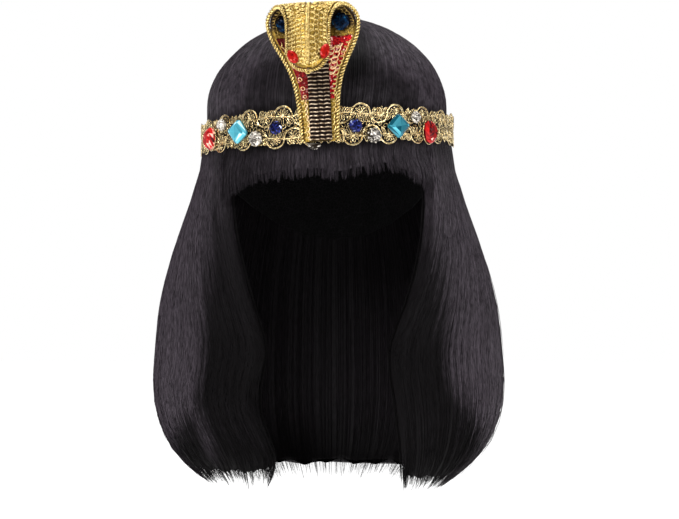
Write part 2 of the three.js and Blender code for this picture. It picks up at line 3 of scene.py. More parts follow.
import bmesh
import bpy
import numpy as np
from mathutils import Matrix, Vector


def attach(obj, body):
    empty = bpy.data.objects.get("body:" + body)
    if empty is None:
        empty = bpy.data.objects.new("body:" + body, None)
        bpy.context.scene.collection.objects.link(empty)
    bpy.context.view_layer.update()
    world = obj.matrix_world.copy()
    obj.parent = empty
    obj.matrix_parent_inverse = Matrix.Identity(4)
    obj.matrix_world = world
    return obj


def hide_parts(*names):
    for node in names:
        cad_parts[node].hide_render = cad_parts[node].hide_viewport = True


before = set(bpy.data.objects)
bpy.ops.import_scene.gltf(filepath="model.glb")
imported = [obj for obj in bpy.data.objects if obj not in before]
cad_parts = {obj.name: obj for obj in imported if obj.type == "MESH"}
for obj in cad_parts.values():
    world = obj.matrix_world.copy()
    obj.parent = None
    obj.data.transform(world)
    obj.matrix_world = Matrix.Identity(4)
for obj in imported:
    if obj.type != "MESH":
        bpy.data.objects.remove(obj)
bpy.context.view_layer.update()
mm = 0.001
chance = np.random.default_rng(11)
print("frame loaded:", len(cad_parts), "nodes")


# A socket of a node tree that takes plain maths
class Signal:
    def __init__(self, tree, socket):
        self.tree = tree
        self.socket = socket

    def maths(self, operation, first, second, clamp=False):
        inputs = {0: first, 1: second}
        return addNode(self.tree, "ShaderNodeMath", inputs, operation=operation, use_clamp=clamp)

    def __add__(self, other):
        return self.maths("ADD", self, other)

    def __mul__(self, other):
        return self.maths("MULTIPLY", self, other)

    def __sub__(self, other):
        return self.maths("SUBTRACT", self, other)

    def __rsub__(self, other):
        return self.maths("SUBTRACT", other, self)

    __radd__ = __add__
    __rmul__ = __mul__

    def clamped(self):
        return self.maths("ADD", self, 0.0, clamp=True)


def plug(tree, socket, value):
    if isinstance(value, Signal):
        tree.links.new(value.socket, socket)
    else:
        socket.default_value = value


# Any node of any tree
def addNode(tree, kind, inputs=None, output=0, **settings):
    node = tree.nodes.new(kind)
    for label, value in settings.items():
        setattr(node, label, value)
    for label, value in (inputs or {}).items():
        plug(tree, node.inputs[label], value)
    return Signal(tree, node.outputs[output])


class Surface:
    sockets = {
        "color": "Base Color", "specular": "Specular IOR Level",
        "coat": "Coat Weight", "coatRoughness": "Coat Roughness",
    }

    def __init__(self, name, **values):
        self.material = bpy.data.materials.new(name)
        self.material.use_nodes = True
        self.tree = self.material.node_tree
        self.shader = next(node for node in self.tree.nodes if node.type == "BSDF_PRINCIPLED")
        for label, value in values.items():
            self.set(label, value)

    def set(self, label, value):
        socket = self.sockets.get(label, label[:1].upper() + label[1:])
        plug(self.tree, self.shader.inputs[socket], value)

    def node(self, kind, inputs=None, output=0, **settings):
        return addNode(self.tree, "ShaderNode" + kind, inputs, output, **settings)

    def attribute(self, name, output="Fac"):
        return self.node("Attribute", output=output, attribute_name=name, attribute_type="GEOMETRY")

    def place(self):
        return self.node("TexCoord", output="Object")

    def blend(self, factor, low, high):
        return self.node("Mix", {0: factor, 6: low, 7: high}, output=2, data_type="RGBA")

    def ramp(self, factor, low, high):
        return self.node("MapRange", {"Value": factor, "From Min": low, "From Max": high})

    def noise(self, vector, scale):
        return self.node("TexNoise", {"Vector": vector, "Scale": scale, "Detail": 3.0})

    def cells(self, scale, output=0, **settings):
        return self.node("TexVoronoi", {"Vector": self.place(), "Scale": scale}, output, **settings)

    def bump(self, height, distance, strength):
        inputs = {"Height": height, "Distance": distance, "Strength": strength}
        self.set("normal", self.node("Bump", inputs))


# A mesh from points in millimetres
def meshPiece(name, points, faces, surface, attributes=None, rounded=True):
    mesh = bpy.data.meshes.new(name)
    mesh.from_pydata((np.asarray(points).reshape(-1, 3) * mm).tolist(), [], faces)
    for label, values in (attributes or {}).items():
        storeAttribute(mesh, label, values)
    shape = bmesh.new()
    shape.from_mesh(mesh)
    bmesh.ops.recalc_face_normals(shape, faces=shape.faces)
    shape.to_mesh(mesh)
    shape.free()
    for face in mesh.polygons:
        face.use_smooth = rounded
    mesh.materials.append(surface.material)
    piece = bpy.data.objects.new(name, mesh)
    bpy.context.scene.collection.objects.link(piece)
    return piece


def storeAttribute(mesh, label, values):
    values = np.asarray(values, dtype=np.float32)
    kind, field = ("FLOAT", "value") if values.ndim == 1 else ("FLOAT_VECTOR", "vector")
    mesh.attributes.new(label, kind, "POINT").data.foreach_set(field, values.ravel())


# Faces of a closed skin over rings of points, one ring to a row, with both ends closed
def loft(rows, columns):
    faces = []
    for i in range(rows - 1):
        near, far = i * columns, (i + 1) * columns
        for j in range(columns):
            k = (j + 1) % columns
            faces.append((near + j, far + j, far + k, near + k))
    last = (rows - 1) * columns
    faces.append(tuple(range(columns)))
    faces.append(tuple(last + columns - 1 - j for j in range(columns)))
    return faces


# A closed sheet between two grids of points
def sheetPiece(name, upper, lower, surface, attributes=None):
    rings = np.concatenate([upper, lower[:, ::-1]], axis=1)
    return meshPiece(name, rings, loft(*rings.shape[:2]), surface, attributes)


# Thin tubes along many lines at once, and small round beads at many points, by Geometry Nodes
def shapeNode(tree, kind, inputs, **settings):
    return addNode(tree, "GeometryNode" + kind, inputs, **settings)


def newTree(name, **inputs):
    tree = bpy.data.node_groups.new(name, "GeometryNodeTree")
    tree.is_modifier = True
    kinds = {"Shape": "Geometry", **inputs}
    for label, kind in kinds.items():
        tree.interface.new_socket(label, in_out="INPUT", socket_type="NodeSocket" + kind)
    tree.interface.new_socket("Result", in_out="OUTPUT", socket_type="NodeSocketGeometry")
    given = tree.nodes.new("NodeGroupInput")
    return tree, {label: Signal(tree, given.outputs[label]) for label in kinds}


def finishTree(tree, shape, finish):
    shape = shapeNode(tree, "RealizeInstances", {"Geometry": shape})
    shape = shapeNode(tree, "SetMaterial", {"Geometry": shape, "Material": finish})
    tree.links.new(shape.socket, tree.nodes.new("NodeGroupOutput").inputs["Result"])
    return tree


def storedRadius(tree):
    return shapeNode(tree, "InputNamedAttribute", {"Name": "radius"}, data_type="FLOAT")


def tubeTree():
    tree, given = newTree("tubes", Sides="Int", Finish="Material")
    curve = shapeNode(tree, "MeshToCurve", {"Mesh": given["Shape"]})
    circle = {"Resolution": given["Sides"], "Radius": 1.0}
    profile = shapeNode(tree, "CurvePrimitiveCircle", circle)
    skin = {"Curve": curve, "Profile Curve": profile, "Scale": storedRadius(tree)}
    skin["Fill Caps"] = True
    return finishTree(tree, shapeNode(tree, "CurveToMesh", skin), given["Finish"])


def beadTree():
    tree, given = newTree("beads", Roundness="Int", Finish="Material")
    ball = shapeNode(tree, "MeshIcoSphere", {"Radius": 1.0, "Subdivisions": given["Roundness"]})
    places = {"Points": given["Shape"], "Instance": ball, "Scale": storedRadius(tree)}
    return finishTree(tree, shapeNode(tree, "InstanceOnPoints", places), given["Finish"])


tubes = tubeTree()
beads = beadTree()


def runTree(name, points, edges, tree, attributes, **inputs):
    mesh = bpy.data.meshes.new(name)
    mesh.from_pydata((points.reshape(-1, 3) * mm).tolist(), edges, [])
    for label, values in attributes.items():
        storeAttribute(mesh, label, values)
    piece = bpy.data.objects.new(name, mesh)
    bpy.context.scene.collection.objects.link(piece)
    modifier = piece.modifiers.new(tree.name, "NODES")
    modifier.node_group = tree
    for item in tree.interface.items_tree:
        if item.in_out == "INPUT" and item.name in inputs:
            modifier[item.identifier] = inputs[item.name]
    done = piece.evaluated_get(bpy.context.evaluated_depsgraph_get())
    plain = bpy.data.meshes.new_from_object(done)
    piece.modifiers.clear()
    piece.data = plain
    plain.name = name
    bpy.data.meshes.remove(mesh)
    plain.shade_smooth()
    return piece


# Lines are an array of line, point and axis
def tubePiece(name, lines, radius, surface, sides=3, attributes=None):
    count, steps = lines.shape[:2]
    starts = np.arange(count)[:, None] * steps + np.arange(steps - 1)[None, :]
    edges = np.stack([starts, starts + 1], axis=-1).reshape(-1, 2).tolist()
    given = dict(attributes or {}, radius=(np.broadcast_to(radius, (count, steps)) * mm).ravel())
    return runTree(name, lines, edges, tubes, given, Sides=sides, Finish=surface.material)


def beadPiece(name, points, radius, surface, roundness=2):
    given = {"radius": np.broadcast_to(radius, (len(points),)) * mm}
    return runTree(name, points, [], beads, given, Roundness=roundness, Finish=surface.material)


def joined(*parts):
    bpy.ops.object.select_all(action="DESELECT")
    for part in parts:
        part.select_set(True)
    bpy.context.view_layer.objects.active = parts[0]
    bpy.ops.object.join()
    return parts[0]


def standsFor(piece, name, node):
    piece.name = name
    piece.data.name = name
    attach(piece, "root")
    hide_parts(node)


# Rows of a short table, from its names and each row's values
def table(names, *rows):
    return [dict(zip(names.split(), row)) for row in rows]


# A column of a table at any value of its first column, on a smooth curve through the rows
def column(rows, name, at):
    key = next(iter(rows[0]))
    x, y = [np.array([row[label] for row in rows], dtype=float) for label in (key, name)]
    slope = np.gradient(y, x)
    at = np.clip(at, x[0], x[-1])
    i = np.clip(np.searchsorted(x, at) - 1, 0, len(x) - 2)
    span = x[i + 1] - x[i]
    t = (at - x[i]) / span
    ends = (1 + 2 * t) * (1 - t) ** 2 * y[i] + t * t * (3 - 2 * t) * y[i + 1]
    return ends + t * (1 - t) ** 2 * span * slope[i] + t * t * (t - 1) * span * slope[i + 1]


def smooth(value, low, high):
    t = np.clip((value - low) / (high - low), 0, 1)
    return t * t * (3 - 2 * t)


def unit(ways):
    return ways / np.linalg.norm(ways, axis=-1, keepdims=True)


# Headband: its path is an oval that is a little lower on the left, with painted shade on the hair
# under it.
# Arches and cups are counted from the middle of its front.
band = {
    "side": 87.0, "front": 104.6, "back": 104.8, "z": -74.4, "roll": 2.5, "pitch": 1.8,
    "thick": 1.8, "gap": 0.3, "heightFront": 30.0, "heightSide": 23.0,
    "bandShadowTone": 0.12, "bandShadowEdge": (-3, 2),
    "measures": 1441, "lobes": 46, "level": 7.5, "archAt": 3.8, "cupAt": -1.6,
    "rimSpread": 0.34, "rimRadius": 0.29, "rimOut": 1.15, "rimStep": 0.2, "rimSteps": 12,
    "petals": 6, "petalSpan": (10, 170), "petalTurn": 0.09, "petalShort": 0.9, "petalWidth": 0.95,
    "petalLengths": (0.82, 0.98), "petalWidths": (0.85, 1.1), "petalOut": 0.85,
    "combs": 7, "combReach": 4.9, "combStray": 0.25, "combTurn": 0.15, "combWidth": 0.95,
    "innerComb": 6.6, "outerComb": 5.0, "combLengths": (0.85, 1.08), "combOut": 0.9,
    "fan": 0.75, "lean": 0.5,
    "curls": 3, "curlStray": 0.6, "curlUp": 1.0, "curlLength": 4.0, "curlLengths": (0.75, 1.1),
    "curlWidth": 1.5, "curlOut": 0.7,
    "wireRadius": 0.24, "loopSteps": 10, "loopFoot": 0.45, "loopArch": 0.35,
    "cordRadius": 0.25, "cordTwist": 2.4, "cordSwing": 0.5, "cordWide": 0.35, "cordDeep": 0.25,
    "cordOut": 1.2, "cordSteps": 14,
    "goldLight": (0.98, 0.82, 0.48, 1), "goldDark": (0.28, 0.175, 0.055, 1),
    "roughness": 0.22, "grain": 650.0,
}


def oval(phi, axes):
    reach = np.where(np.cos(phi) > 0, axes["front"], axes["back"])
    return axes["side"] * np.sin(phi), -reach * np.cos(phi)


bandTurns = np.linspace(-np.pi, np.pi, band["measures"])
bandSteps = np.hypot(*np.diff(np.stack(oval(bandTurns, band)), axis=1))
bandRun = np.concatenate([[0], bandSteps.cumsum()])
bandLength = bandRun[-1]
lobe = bandLength / band["lobes"]
rollSlope, pitchSlope = [math.tan(math.radians(band[name])) for name in ("roll", "pitch")]


def bandMiddle(x, y):
    return band["z"] + x * rollSlope - y * pitchSlope


def bandHeight(phi):
    side, front = band["heightSide"], band["heightFront"]
    return side + (front - side) * np.clip(np.cos(phi), 0, 1) ** 2


# Run is counted along the band from the middle of its back
def bandPoint(run, up, out):
    phi = np.interp(np.mod(run, bandLength), bandRun, bandTurns)
    x, y = oval(phi, band)
    reach = np.where(y < 0, band["front"], band["back"])
    facing = unit(np.stack([x / band["side"] ** 2, y / reach**2], axis=-1))
    z = bandMiddle(x, y) + up * bandHeight(phi) / band["heightFront"]
    return np.stack([x + out * facing[..., 0], y + out * facing[..., 1], z], axis=-1)


# Hair: tones from dark to light, sheen, and strands that taper to a tip
hair = {
    "seamZ": -74.0, "toneDark": (0.0012, 0.0009, 0.001, 1), "toneLight": (0.0475, 0.037, 0.048, 1),
    "usual": 0.69, "roughness": 0.55, "specular": 0.06, "sheen": 0.47, "sheenRoughness": 0.5,
    "streakScale": (1.1, 0.2, 1.0), "streakHeight": 0.0003, "streakBump": 0.5, "mottleScale": 240.0,
    "strandRadius": 0.2, "strandVaries": (0.7, 1.25), "taper": 5.0, "tip": 0.3, "flowRange": 400,
    "wispBlur": 0.25, "wispShift": 0.18, "ripples": 7, "ripplePhase": 6.3, "crowd": 0.45,
    "ownSpread": (2, 2),
}
# Outline of the falls at each drop below the seam, with the opening's edges in degrees
fallRows = table(
    "drop side front back left right thick",
    (0, 85.8, 103, 103.4, 53.5, 62, 9.8),
    (18, 86, 101, 103.8, 53.5, 62, 10),
    (24, 89.2, 98, 106, 53, 62, 11),
    (42, 94.5, 92, 107.5, 49.6, 58.4, 12),
    (88, 110.3, 79, 111, 36, 44, 14),
    (116, 117.4, 76, 112.5, 28.8, 35.7, 15),
    (148, 121.0, 72.5, 113.5, 22.8, 27.8, 16),
    (182, 122.0, 71, 113, 26.4, 29.4, 16),
    (207, 115.8, 69, 109.5, 24, 32.7, 14),
    (225, 104.5, 66, 102, 23, 37, 11),
    (237, 91.5, 61, 92, 28, 42, 8),
    (246, 79, 55, 82, 35, 48, 4),
)
fallLength = fallRows[-1]["drop"]
thickest = max(row["thick"] for row in fallRows)


# Light varies along the strands by streaks, and from patch to patch by mottling
def hairSurface(name, streaks, mottling):
    surface = Surface(
        name, roughness=hair["roughness"], specular=hair["specular"],
        coatRoughness=hair["sheenRoughness"],
    )
    flow = {"Vector": surface.attribute("flow", output="Vector"), "Scale": hair["streakScale"]}
    streak = surface.noise(surface.node("Mapping", flow), 1.0)
    mottle = surface.noise(surface.place(), hair["mottleScale"])
    varied = streak * streaks + mottle * mottling + (1 - (streaks + mottling) / 2)
    # The tone holds each strand's own tone together with the painted shade and light, and sets both
    # the colour and the coat's sheen
    tone = (surface.attribute("tone") * varied * hair["usual"]).clamped()
    surface.set("color", surface.blend(tone, hair["toneDark"], hair["toneLight"]))
    surface.set("coat", tone * hair["sheen"])
    surface.bump(streak, hair["streakHeight"], hair["streakBump"])
    return surface


hairFinish = hairSurface("hair", streaks=4.4, mottling=0.6)
crownFinish = hairSurface("crown_hair", streaks=1.8, mottling=2.4)


# A point of the falls at an angle from the front and a drop below the seam, depth outwards
def fallPoint(phi, drop, depth, frontReach=None):
    side = column(fallRows, "side", drop) + depth
    front = (column(fallRows, "front", drop) if frontReach is None else frontReach) + depth
    back = column(fallRows, "back", drop) + depth
    reach = np.where(np.cos(phi) > 0, front, back)
    return np.stack([side * np.sin(phi), -reach * np.cos(phi), hair["seamZ"] - drop], axis=-1)


# Steps from 0 to 1 that crowd towards the ends
def strandSteps(count):
    even = np.linspace(0, 1, count)
    return (1 - hair["crowd"]) * even + hair["crowd"] * (1 - (1 - even) ** 2)


# Painted shade on the falls by the opening: how far that reaches on each side, how light it is
# inside
shadeRows = table(
    "drop left right low",
    (0, 70, 66, 0.34),
    (40, 76, 71, 0.28),
    (62, 77, 75, 0.16),
    (87, 79.5, 84, 0.09),
    (114, 81, 87, 0.06),
    (141, 83.5, 88.5, 0.04),
    (168, 85.5, 90, 0.03),
    (182, 90, 97, 0.03),
    (196, 97, 107, 0.04),
    (212, 110, 117, 0.05),
    (246, 116, 122, 0.05),
)
shading = {
    "inner": 9, "outer": 8, "ahead": (0, 35), "bright": 0.84, "brighter": 0.11,
    "brighterAt": (110, 165), "ends": 0.7, "endsAt": (198, 221),
}
# A painted highlight: a curl of light near the left ends
curlHighlight = {
    "x": -84.6, "lean": 0.28, "level": 192.0, "wide": 5.0, "tone": 0.32,
    "begins": (182, 200), "fades": (214, 232),
}


# Painted shade and light on the falls: shade by the opening, under the band and at the ends, a
# little lighter lower down, and the painted highlight curl. Spill moves the shaded edge sideways
# for a strand, late moves the shaded ends down.
def shade(points, spill=0.0, late=0.0):
    x, y, z = points[..., 0], points[..., 1], points[..., 2]
    drop = hair["seamZ"] - z
    left, right, low = [column(shadeRows, name, drop) for name in ("left", "right", "low")]
    edge = np.where(x < 0, left, right)
    ahead = smooth(-y, *shading["ahead"])
    lit = smooth(np.abs(x) + spill, edge - shading["inner"], edge + shading["outer"])
    lit = 1 - (1 - lit) * ahead
    away = x - curlHighlight["x"] - curlHighlight["lean"] * (drop - curlHighlight["level"])
    highlight = curlHighlight["tone"] * np.exp(-((away / curlHighlight["wide"]) ** 2)) * smooth(drop, *curlHighlight["begins"])
    highlight = highlight * (1 - smooth(drop, *curlHighlight["fades"])) * ahead
    bright = shading["bright"] + shading["brighter"] * smooth(drop, *shading["brighterAt"])
    ends = 1 - shading["ends"] * smooth(drop - late, *shading["endsAt"])
    return (low + (bright - low) * lit) * ends * bandShadow(points) + highlight


# Painted shadow of the band: the hair under it is darkened
def bandShadow(points):
    x, y, z = points[..., 0], points[..., 1], points[..., 2]
    edge = bandHeight(np.arctan2(x / band["side"], -y / band["front"])) / 2
    clear = smooth(np.abs(z - bandMiddle(x, y)) - edge, *band["bandShadowEdge"])
    return band["bandShadowTone"] + (1 - band["bandShadowTone"]) * clear


def strandPiece(name, lines, tone, thin=1.0, finish=hairFinish):
    count, steps = lines.shape[:2]
    t = np.linspace(0, 1, steps)[None, :]
    size = hair["strandRadius"] * thin * chance.uniform(*hair["strandVaries"], count)[:, None]
    size = size * np.clip((1 - t) * hair["taper"], hair["tip"], 1)
    run = np.linalg.norm(np.diff(lines, axis=1, prepend=lines[:, :1]), axis=-1).cumsum(axis=1)
    across = np.repeat(chance.uniform(0, hair["flowRange"], count), steps)
    flow = np.stack([across, run.ravel(), 0 * run.ravel()], axis=-1)
    marks = {"tone": tone.ravel(), "flow": flow}
    return tubePiece(name + "_strands", lines, size, finish, attributes=marks)


# Strands that start evenly and gather into wisps: their places across, and each one's wisp
def gathered(settings, low, high, t):
    count, wisps = settings["strands"], settings["wisps"]
    root = chance.uniform(low, high, count)
    place = (root - low) / (high - low) * wisps + chance.normal(0, hair["wispBlur"], count)
    wisp = np.clip(np.floor(place), 0, wisps - 1).astype(int)
    middle = np.arange(wisps) + 0.5 + chance.normal(0, hair["wispShift"], wisps)
    middle = low + middle / wisps * (high - low)
    share = root[:, None] + (middle[wisp] - root)[:, None] * settings["gather"] * t**4
    share = share + chance.normal(0, settings["sway"], wisps)[wisp][:, None] * t**2
    phase = chance.uniform(0, hair["ripplePhase"], count)[:, None]
    wave = chance.normal(0, settings["wave"], count)[:, None]
    return share + wave * np.sin(t * hair["ripples"] + phase) * t, wisp, middle


# A fall of hair between two edge angles in degrees.
# Its section is a closed ring: outer side, rounded edge, inner side, rounded edge.
def fallPiece(name, settings, fromEdge, toEdge):
    flat = np.linspace(0, 1, settings["columns"])[None, :]
    turn = np.linspace(0, np.pi, settings["rimColumns"] + 2)[None, 1:-1]
    goesIn, comesOut = (1 - np.cos(turn)) / 2, (1 + np.cos(turn)) / 2
    share = np.concatenate([flat, 1 + 0 * turn, 1 - flat, 0 * turn], axis=1)
    inward = np.concatenate([0 * flat, goesIn, 1 + 0 * flat, comesOut], axis=1)
    first, last = settings["roundEdges"]
    swell = [0 * flat, last * np.sin(turn), 0 * flat, -first * np.sin(turn)]
    coarse, fine = settings["hemWaves"]
    ragged = settings["ragged"] * (1 + np.sin(fine * share) * np.sin(coarse * share))
    hem = fallLength - settings["shellShort"] - ragged
    drop = strandSteps(settings["rows"])[:, None] * hem
    thick = column(fallRows, "thick", drop)
    bulge = settings["rimBulge"] * thick / thickest * np.concatenate(swell, axis=1)
    bulge = bulge / column(fallRows, "side", drop)
    phi = np.radians(fromEdge(drop) + (toEdge(drop) - fromEdge(drop)) * share) + bulge
    outer = np.arange(share.shape[1])[None, :] < settings["columns"]
    inside = -settings["sink"] - (thick - settings["sink"]) * inward
    rings = fallPoint(phi, drop, np.where(outer, fallRelief(share, drop, settings), inside))
    flow = np.stack([phi * settings["flowAcross"], drop, 0 * phi], axis=-1).reshape(-1, 3)
    # Painted shade: the shell's inner side is darker
    within = inward > settings["insideFrom"]
    tone = shade(rings) * np.where(within, settings["insideShade"], settings["shellTone"])
    marks = {"flow": flow, "tone": tone.ravel()}
    shell = meshPiece(name + "_shell", rings, loft(*rings.shape[:2]), hairFinish, marks)
    piece = joined(shell, fallStrands(name, settings, fromEdge, toEdge))
    standsFor(piece, name + "_strands", name)


# Furrows between the locks, deeper towards the ends
def fallRelief(share, drop, settings):
    furrow = 1 - np.abs(np.sin(np.pi * settings["locks"] * share)) ** settings["lockRound"]
    deeper = (drop / fallLength) ** settings["lockGrows"]
    return -settings["lockDepth"] * furrow * deeper - settings["sink"]


def fallStrands(name, settings, fromEdge, toEdge):
    count, wisps = settings["strands"], settings["wisps"]

    def byWisp(values):
        return values[wisp]

    def byBoth(spread):
        return byWisp(chance.normal(0, spread, wisps)) + chance.normal(0, spread / 2, count)

    atRoot = chance.uniform(0, 1, count) < settings["fromRoot"]
    begins = np.where(atRoot, 0, chance.uniform(0, settings["latestStart"], count))[:, None]
    even = np.linspace(0, 1, settings["steps"])[None, :]
    t = begins + (1 - begins) * even
    before, after = settings["aroundEdge"]
    share, wisp, middle = gathered(settings, -before, 1 + after, t)
    lockTip = np.abs(np.sin(np.pi * settings["locks"] * byWisp(middle))) - 1
    length = fallLength - settings["short"] + byWisp(chance.normal(0, settings["tipVaries"], wisps))
    length = length + settings["lockPoint"] * lockTip
    layered = chance.uniform(0, 1, count) < settings["layered"]
    shorter = np.where(layered, settings["layerShort"], settings["strandShort"])
    length = length - chance.gamma(settings["shortShape"], shorter / settings["shortShape"])
    drop = np.clip(length[:, None] * t, 0, fallLength)
    start, end = fromEdge(drop), toEdge(drop)
    inside = np.clip(share, 0, 1)
    over = np.where(share < 0, -share / max(before, 1e-6), (share - 1) / max(after, 1e-6))
    turn = np.clip(over, 0, 1) * np.pi * settings["edgeTurn"]
    thick = column(fallRows, "thick", drop)
    bulge = settings["rimBulge"] * thick / thickest + settings["edgeClear"]
    swell = np.sign(share - 0.5) * bulge * np.sin(turn) / column(fallRows, "side", drop)
    phi = np.radians(start + (end - start) * inside) + swell
    near = 1 - np.abs(inside - (settings["opening"] + 1) / 2)
    sweep = settings["opening"] * math.radians(settings["sweep"])
    phi = phi + sweep * near**2 * smooth(drop, *settings["sweepAt"])
    lift = byWisp(chance.uniform(0, 1, wisps))[:, None] * settings["wispLift"]
    lift = lift + chance.uniform(0, settings["strandLift"], count)[:, None]
    stray = (chance.uniform(0, 1, count) < settings["strays"])[:, None]
    stray = stray * chance.uniform(*settings["strayLift"], count)[:, None]
    free = np.clip((drop - settings["freeFrom"]) / settings["freeOver"], 0, 1)
    pressed = settings["pressed"] + (1 - settings["pressed"]) * free
    depth = fallRelief(inside, drop, settings) + settings["clear"]
    depth = depth + lift * pressed + stray * t**2 * free
    depth = depth - (begins > 0) * (1 - smooth(even, 0, settings["rootDip"]))
    depth = depth - (thick - settings["sink"]) * (1 - np.cos(turn)) / 2
    inner = (chance.uniform(0, 1, count) < settings["innerShare"])[:, None]
    lines = fallPoint(phi, drop, np.where(inner, -thick - lift, depth))
    own = byWisp(chance.beta(*settings["wispSpread"], wisps)) * settings["wispTone"]
    own = own + chance.beta(*hair["ownSpread"], count) * (1 - settings["wispTone"])
    spill, late = byBoth(settings["spill"]), byBoth(settings["late"])
    # Painted highlight: some lighter strands near the ends; strands on the inner side get painted
    # shade
    glint = smooth(own, *settings["glintOwn"])[:, None] * smooth(drop, *settings["glintAt"])
    glint = np.where(inner, settings["innerShade"], 1 + settings["glints"] * glint)
    low, wide = settings["toneRange"]
    tone = shade(lines, spill[:, None], late[:, None]) * (low + wide * own)[:, None] * glint
    return strandPiece(name, lines, tone)


# The opening is at the end (1) or the start (-1) of a fall's width
sideFall = {
    "rows": 44, "columns": 60, "rimColumns": 7, "rimBulge": 4.0, "roundEdges": (1, 0),
    "shellShort": 9, "ragged": 2.5, "hemWaves": (23, 61), "flowAcross": 100,
    "shellTone": 0.8, "insideShade": 0.1, "insideFrom": 0.4,
    "locks": 5, "lockDepth": 0.5, "lockRound": 0.8, "lockGrows": 1.5, "lockPoint": 3, "sink": 0.2,
    "strands": 2400, "steps": 11, "wisps": 110, "fromRoot": 0.35, "latestStart": 0.6,
    "aroundEdge": (0.15, 0.01), "edgeTurn": 0.85, "edgeClear": 0.3,
    "gather": 0.5, "sway": 0.006, "wave": 0.0016, "tipVaries": 2.0, "short": 0.0,
    "strandShort": 7.0, "layered": 0.3, "layerShort": 30.0, "shortShape": 2.2,
    "clear": 0.1, "wispLift": 0.3, "strandLift": 0.5, "strays": 0.015, "strayLift": (0.5, 2.5),
    "freeFrom": 20, "freeOver": 40, "pressed": 0.3, "rootDip": 0.2,
    "innerShare": 0.08, "innerShade": 0.15, "opening": -1, "sweep": 0.6, "sweepAt": (185, 240),
    "spill": 2.5, "late": 11.0, "wispTone": 0.15, "wispSpread": (3, 3), "toneRange": (0.55, 0.9),
    "glints": 1.8, "glintOwn": (0.6, 0.8), "glintAt": (175, 205),
}
mirrored = dict(
    sideFall, roundEdges=(0, 1), aroundEdge=(0.01, 0.15), opening=1, sweep=3.0, short=4.0,
    shellShort=13,
)
backFall = dict(
    sideFall, columns=110, roundEdges=(0, 0), locks=8, strands=2300, wisps=160,
    aroundEdge=(0.004, 0.004), sway=0.002, wave=0.0008, gather=0.3, tipVaries=1.5,
    strandShort=6.0, lockPoint=1.5, innerShare=0.25, opening=0, sweep=0.0,
)
sideEdge, overlap = 98.0, 1.0


def fixed(angle):
    return lambda drop: angle + 0 * drop


def opening(name, side):
    return lambda drop: side * column(fallRows, name, drop)


fallPiece("side_hair_right", sideFall, opening("right", 1), fixed(sideEdge + overlap))
fallPiece("side_hair_left", mirrored, fixed(-sideEdge - overlap), opening("left", -1))
fallPiece("back_hair", backFall, fixed(sideEdge), fixed(360 - sideEdge))
print("falls of hair made")

# Crown: a sleek dome, its strands laid from a whorl behind the top down to the band
crown = {
    "left": 84.2, "right": 83.4, "front": 100.0, "back": 101.0, "centreZ": -55.0, "rise": 65.0,
    "thick": 8.0, "foot": 18.0, "rows": 34, "columns": 120, "insideShade": 0.2,
    "flat": 1.8, "flatFrom": (0.05, 0.45), "flatTo": (0.78, 1.02), "flatUp": (0, 0.3),
    "whorl": (0.03, 0.24, 0.97), "strands": 2400, "steps": 9, "thin": 0.9, "sink": 0.4, "lift": 0.4,
    "spread": 1.05, "nearest": 0.002, "half": (0.14, 0.3), "span": (0.01, 1.16), "pastFoot": 100,
    "strays": 0.02, "strayLift": 1.2, "strayEnd": 0.85, "toneRange": (0.84, 0.32),
    "flowAcross": 90, "flowTop": 0.2,
}
# Painted shade on the crown: darker to the front, further round at the lower right, and darkest in
# a painted shadow of the cobra
crownShade = {
    "tone": 0.94, "front": 0.72, "frontAt": (0.66, 0.86), "lowRight": 0.17,
    "lowRightX": (0.3, 0.5), "lowRightZ": (0.15, 0.4),
    "shadow": 0.8, "shadowX": 24, "shadowWide": 10, "shadowZ": (0.1, 0.3), "shadowY": (0.4, 0.6),
}


# Ways are unit vectors from the dome's middle; below the middle the dome goes straight down
def crownPoint(ways, depth, below=0.0):
    x, y, z = ways[..., 0], ways[..., 1], ways[..., 2]
    flat = smooth(-x, *crown["flatFrom"]) * (1 - smooth(-x, *crown["flatTo"]))
    depth = depth - crown["flat"] * (flat * smooth(z, *crown["flatUp"]))
    reach = np.where(y < 0, crown["front"], crown["back"]) + depth
    side = np.where(x < 0, crown["left"], crown["right"]) + depth
    level = crown["centreZ"] + (crown["rise"] + depth) * z - below
    return np.stack([side * x, reach * y, level], axis=-1)


def crownPaintedShade(ways, points):
    x, y, z = ways[..., 0], ways[..., 1], ways[..., 2]
    row = crownShade
    lowRight = smooth(x, *row["lowRightX"]) * (1 - smooth(z, *row["lowRightZ"]))
    front = smooth(-y + row["lowRight"] * lowRight, *row["frontAt"])
    shadow = np.exp(-(((points[..., 0] - row["shadowX"]) / row["shadowWide"]) ** 2))
    shadow = shadow * smooth(z, *row["shadowZ"]) * smooth(-y, *row["shadowY"])
    tone = row["tone"] * (1 - row["front"] * front) * (1 - row["shadow"] * shadow)
    return tone * bandShadow(points)


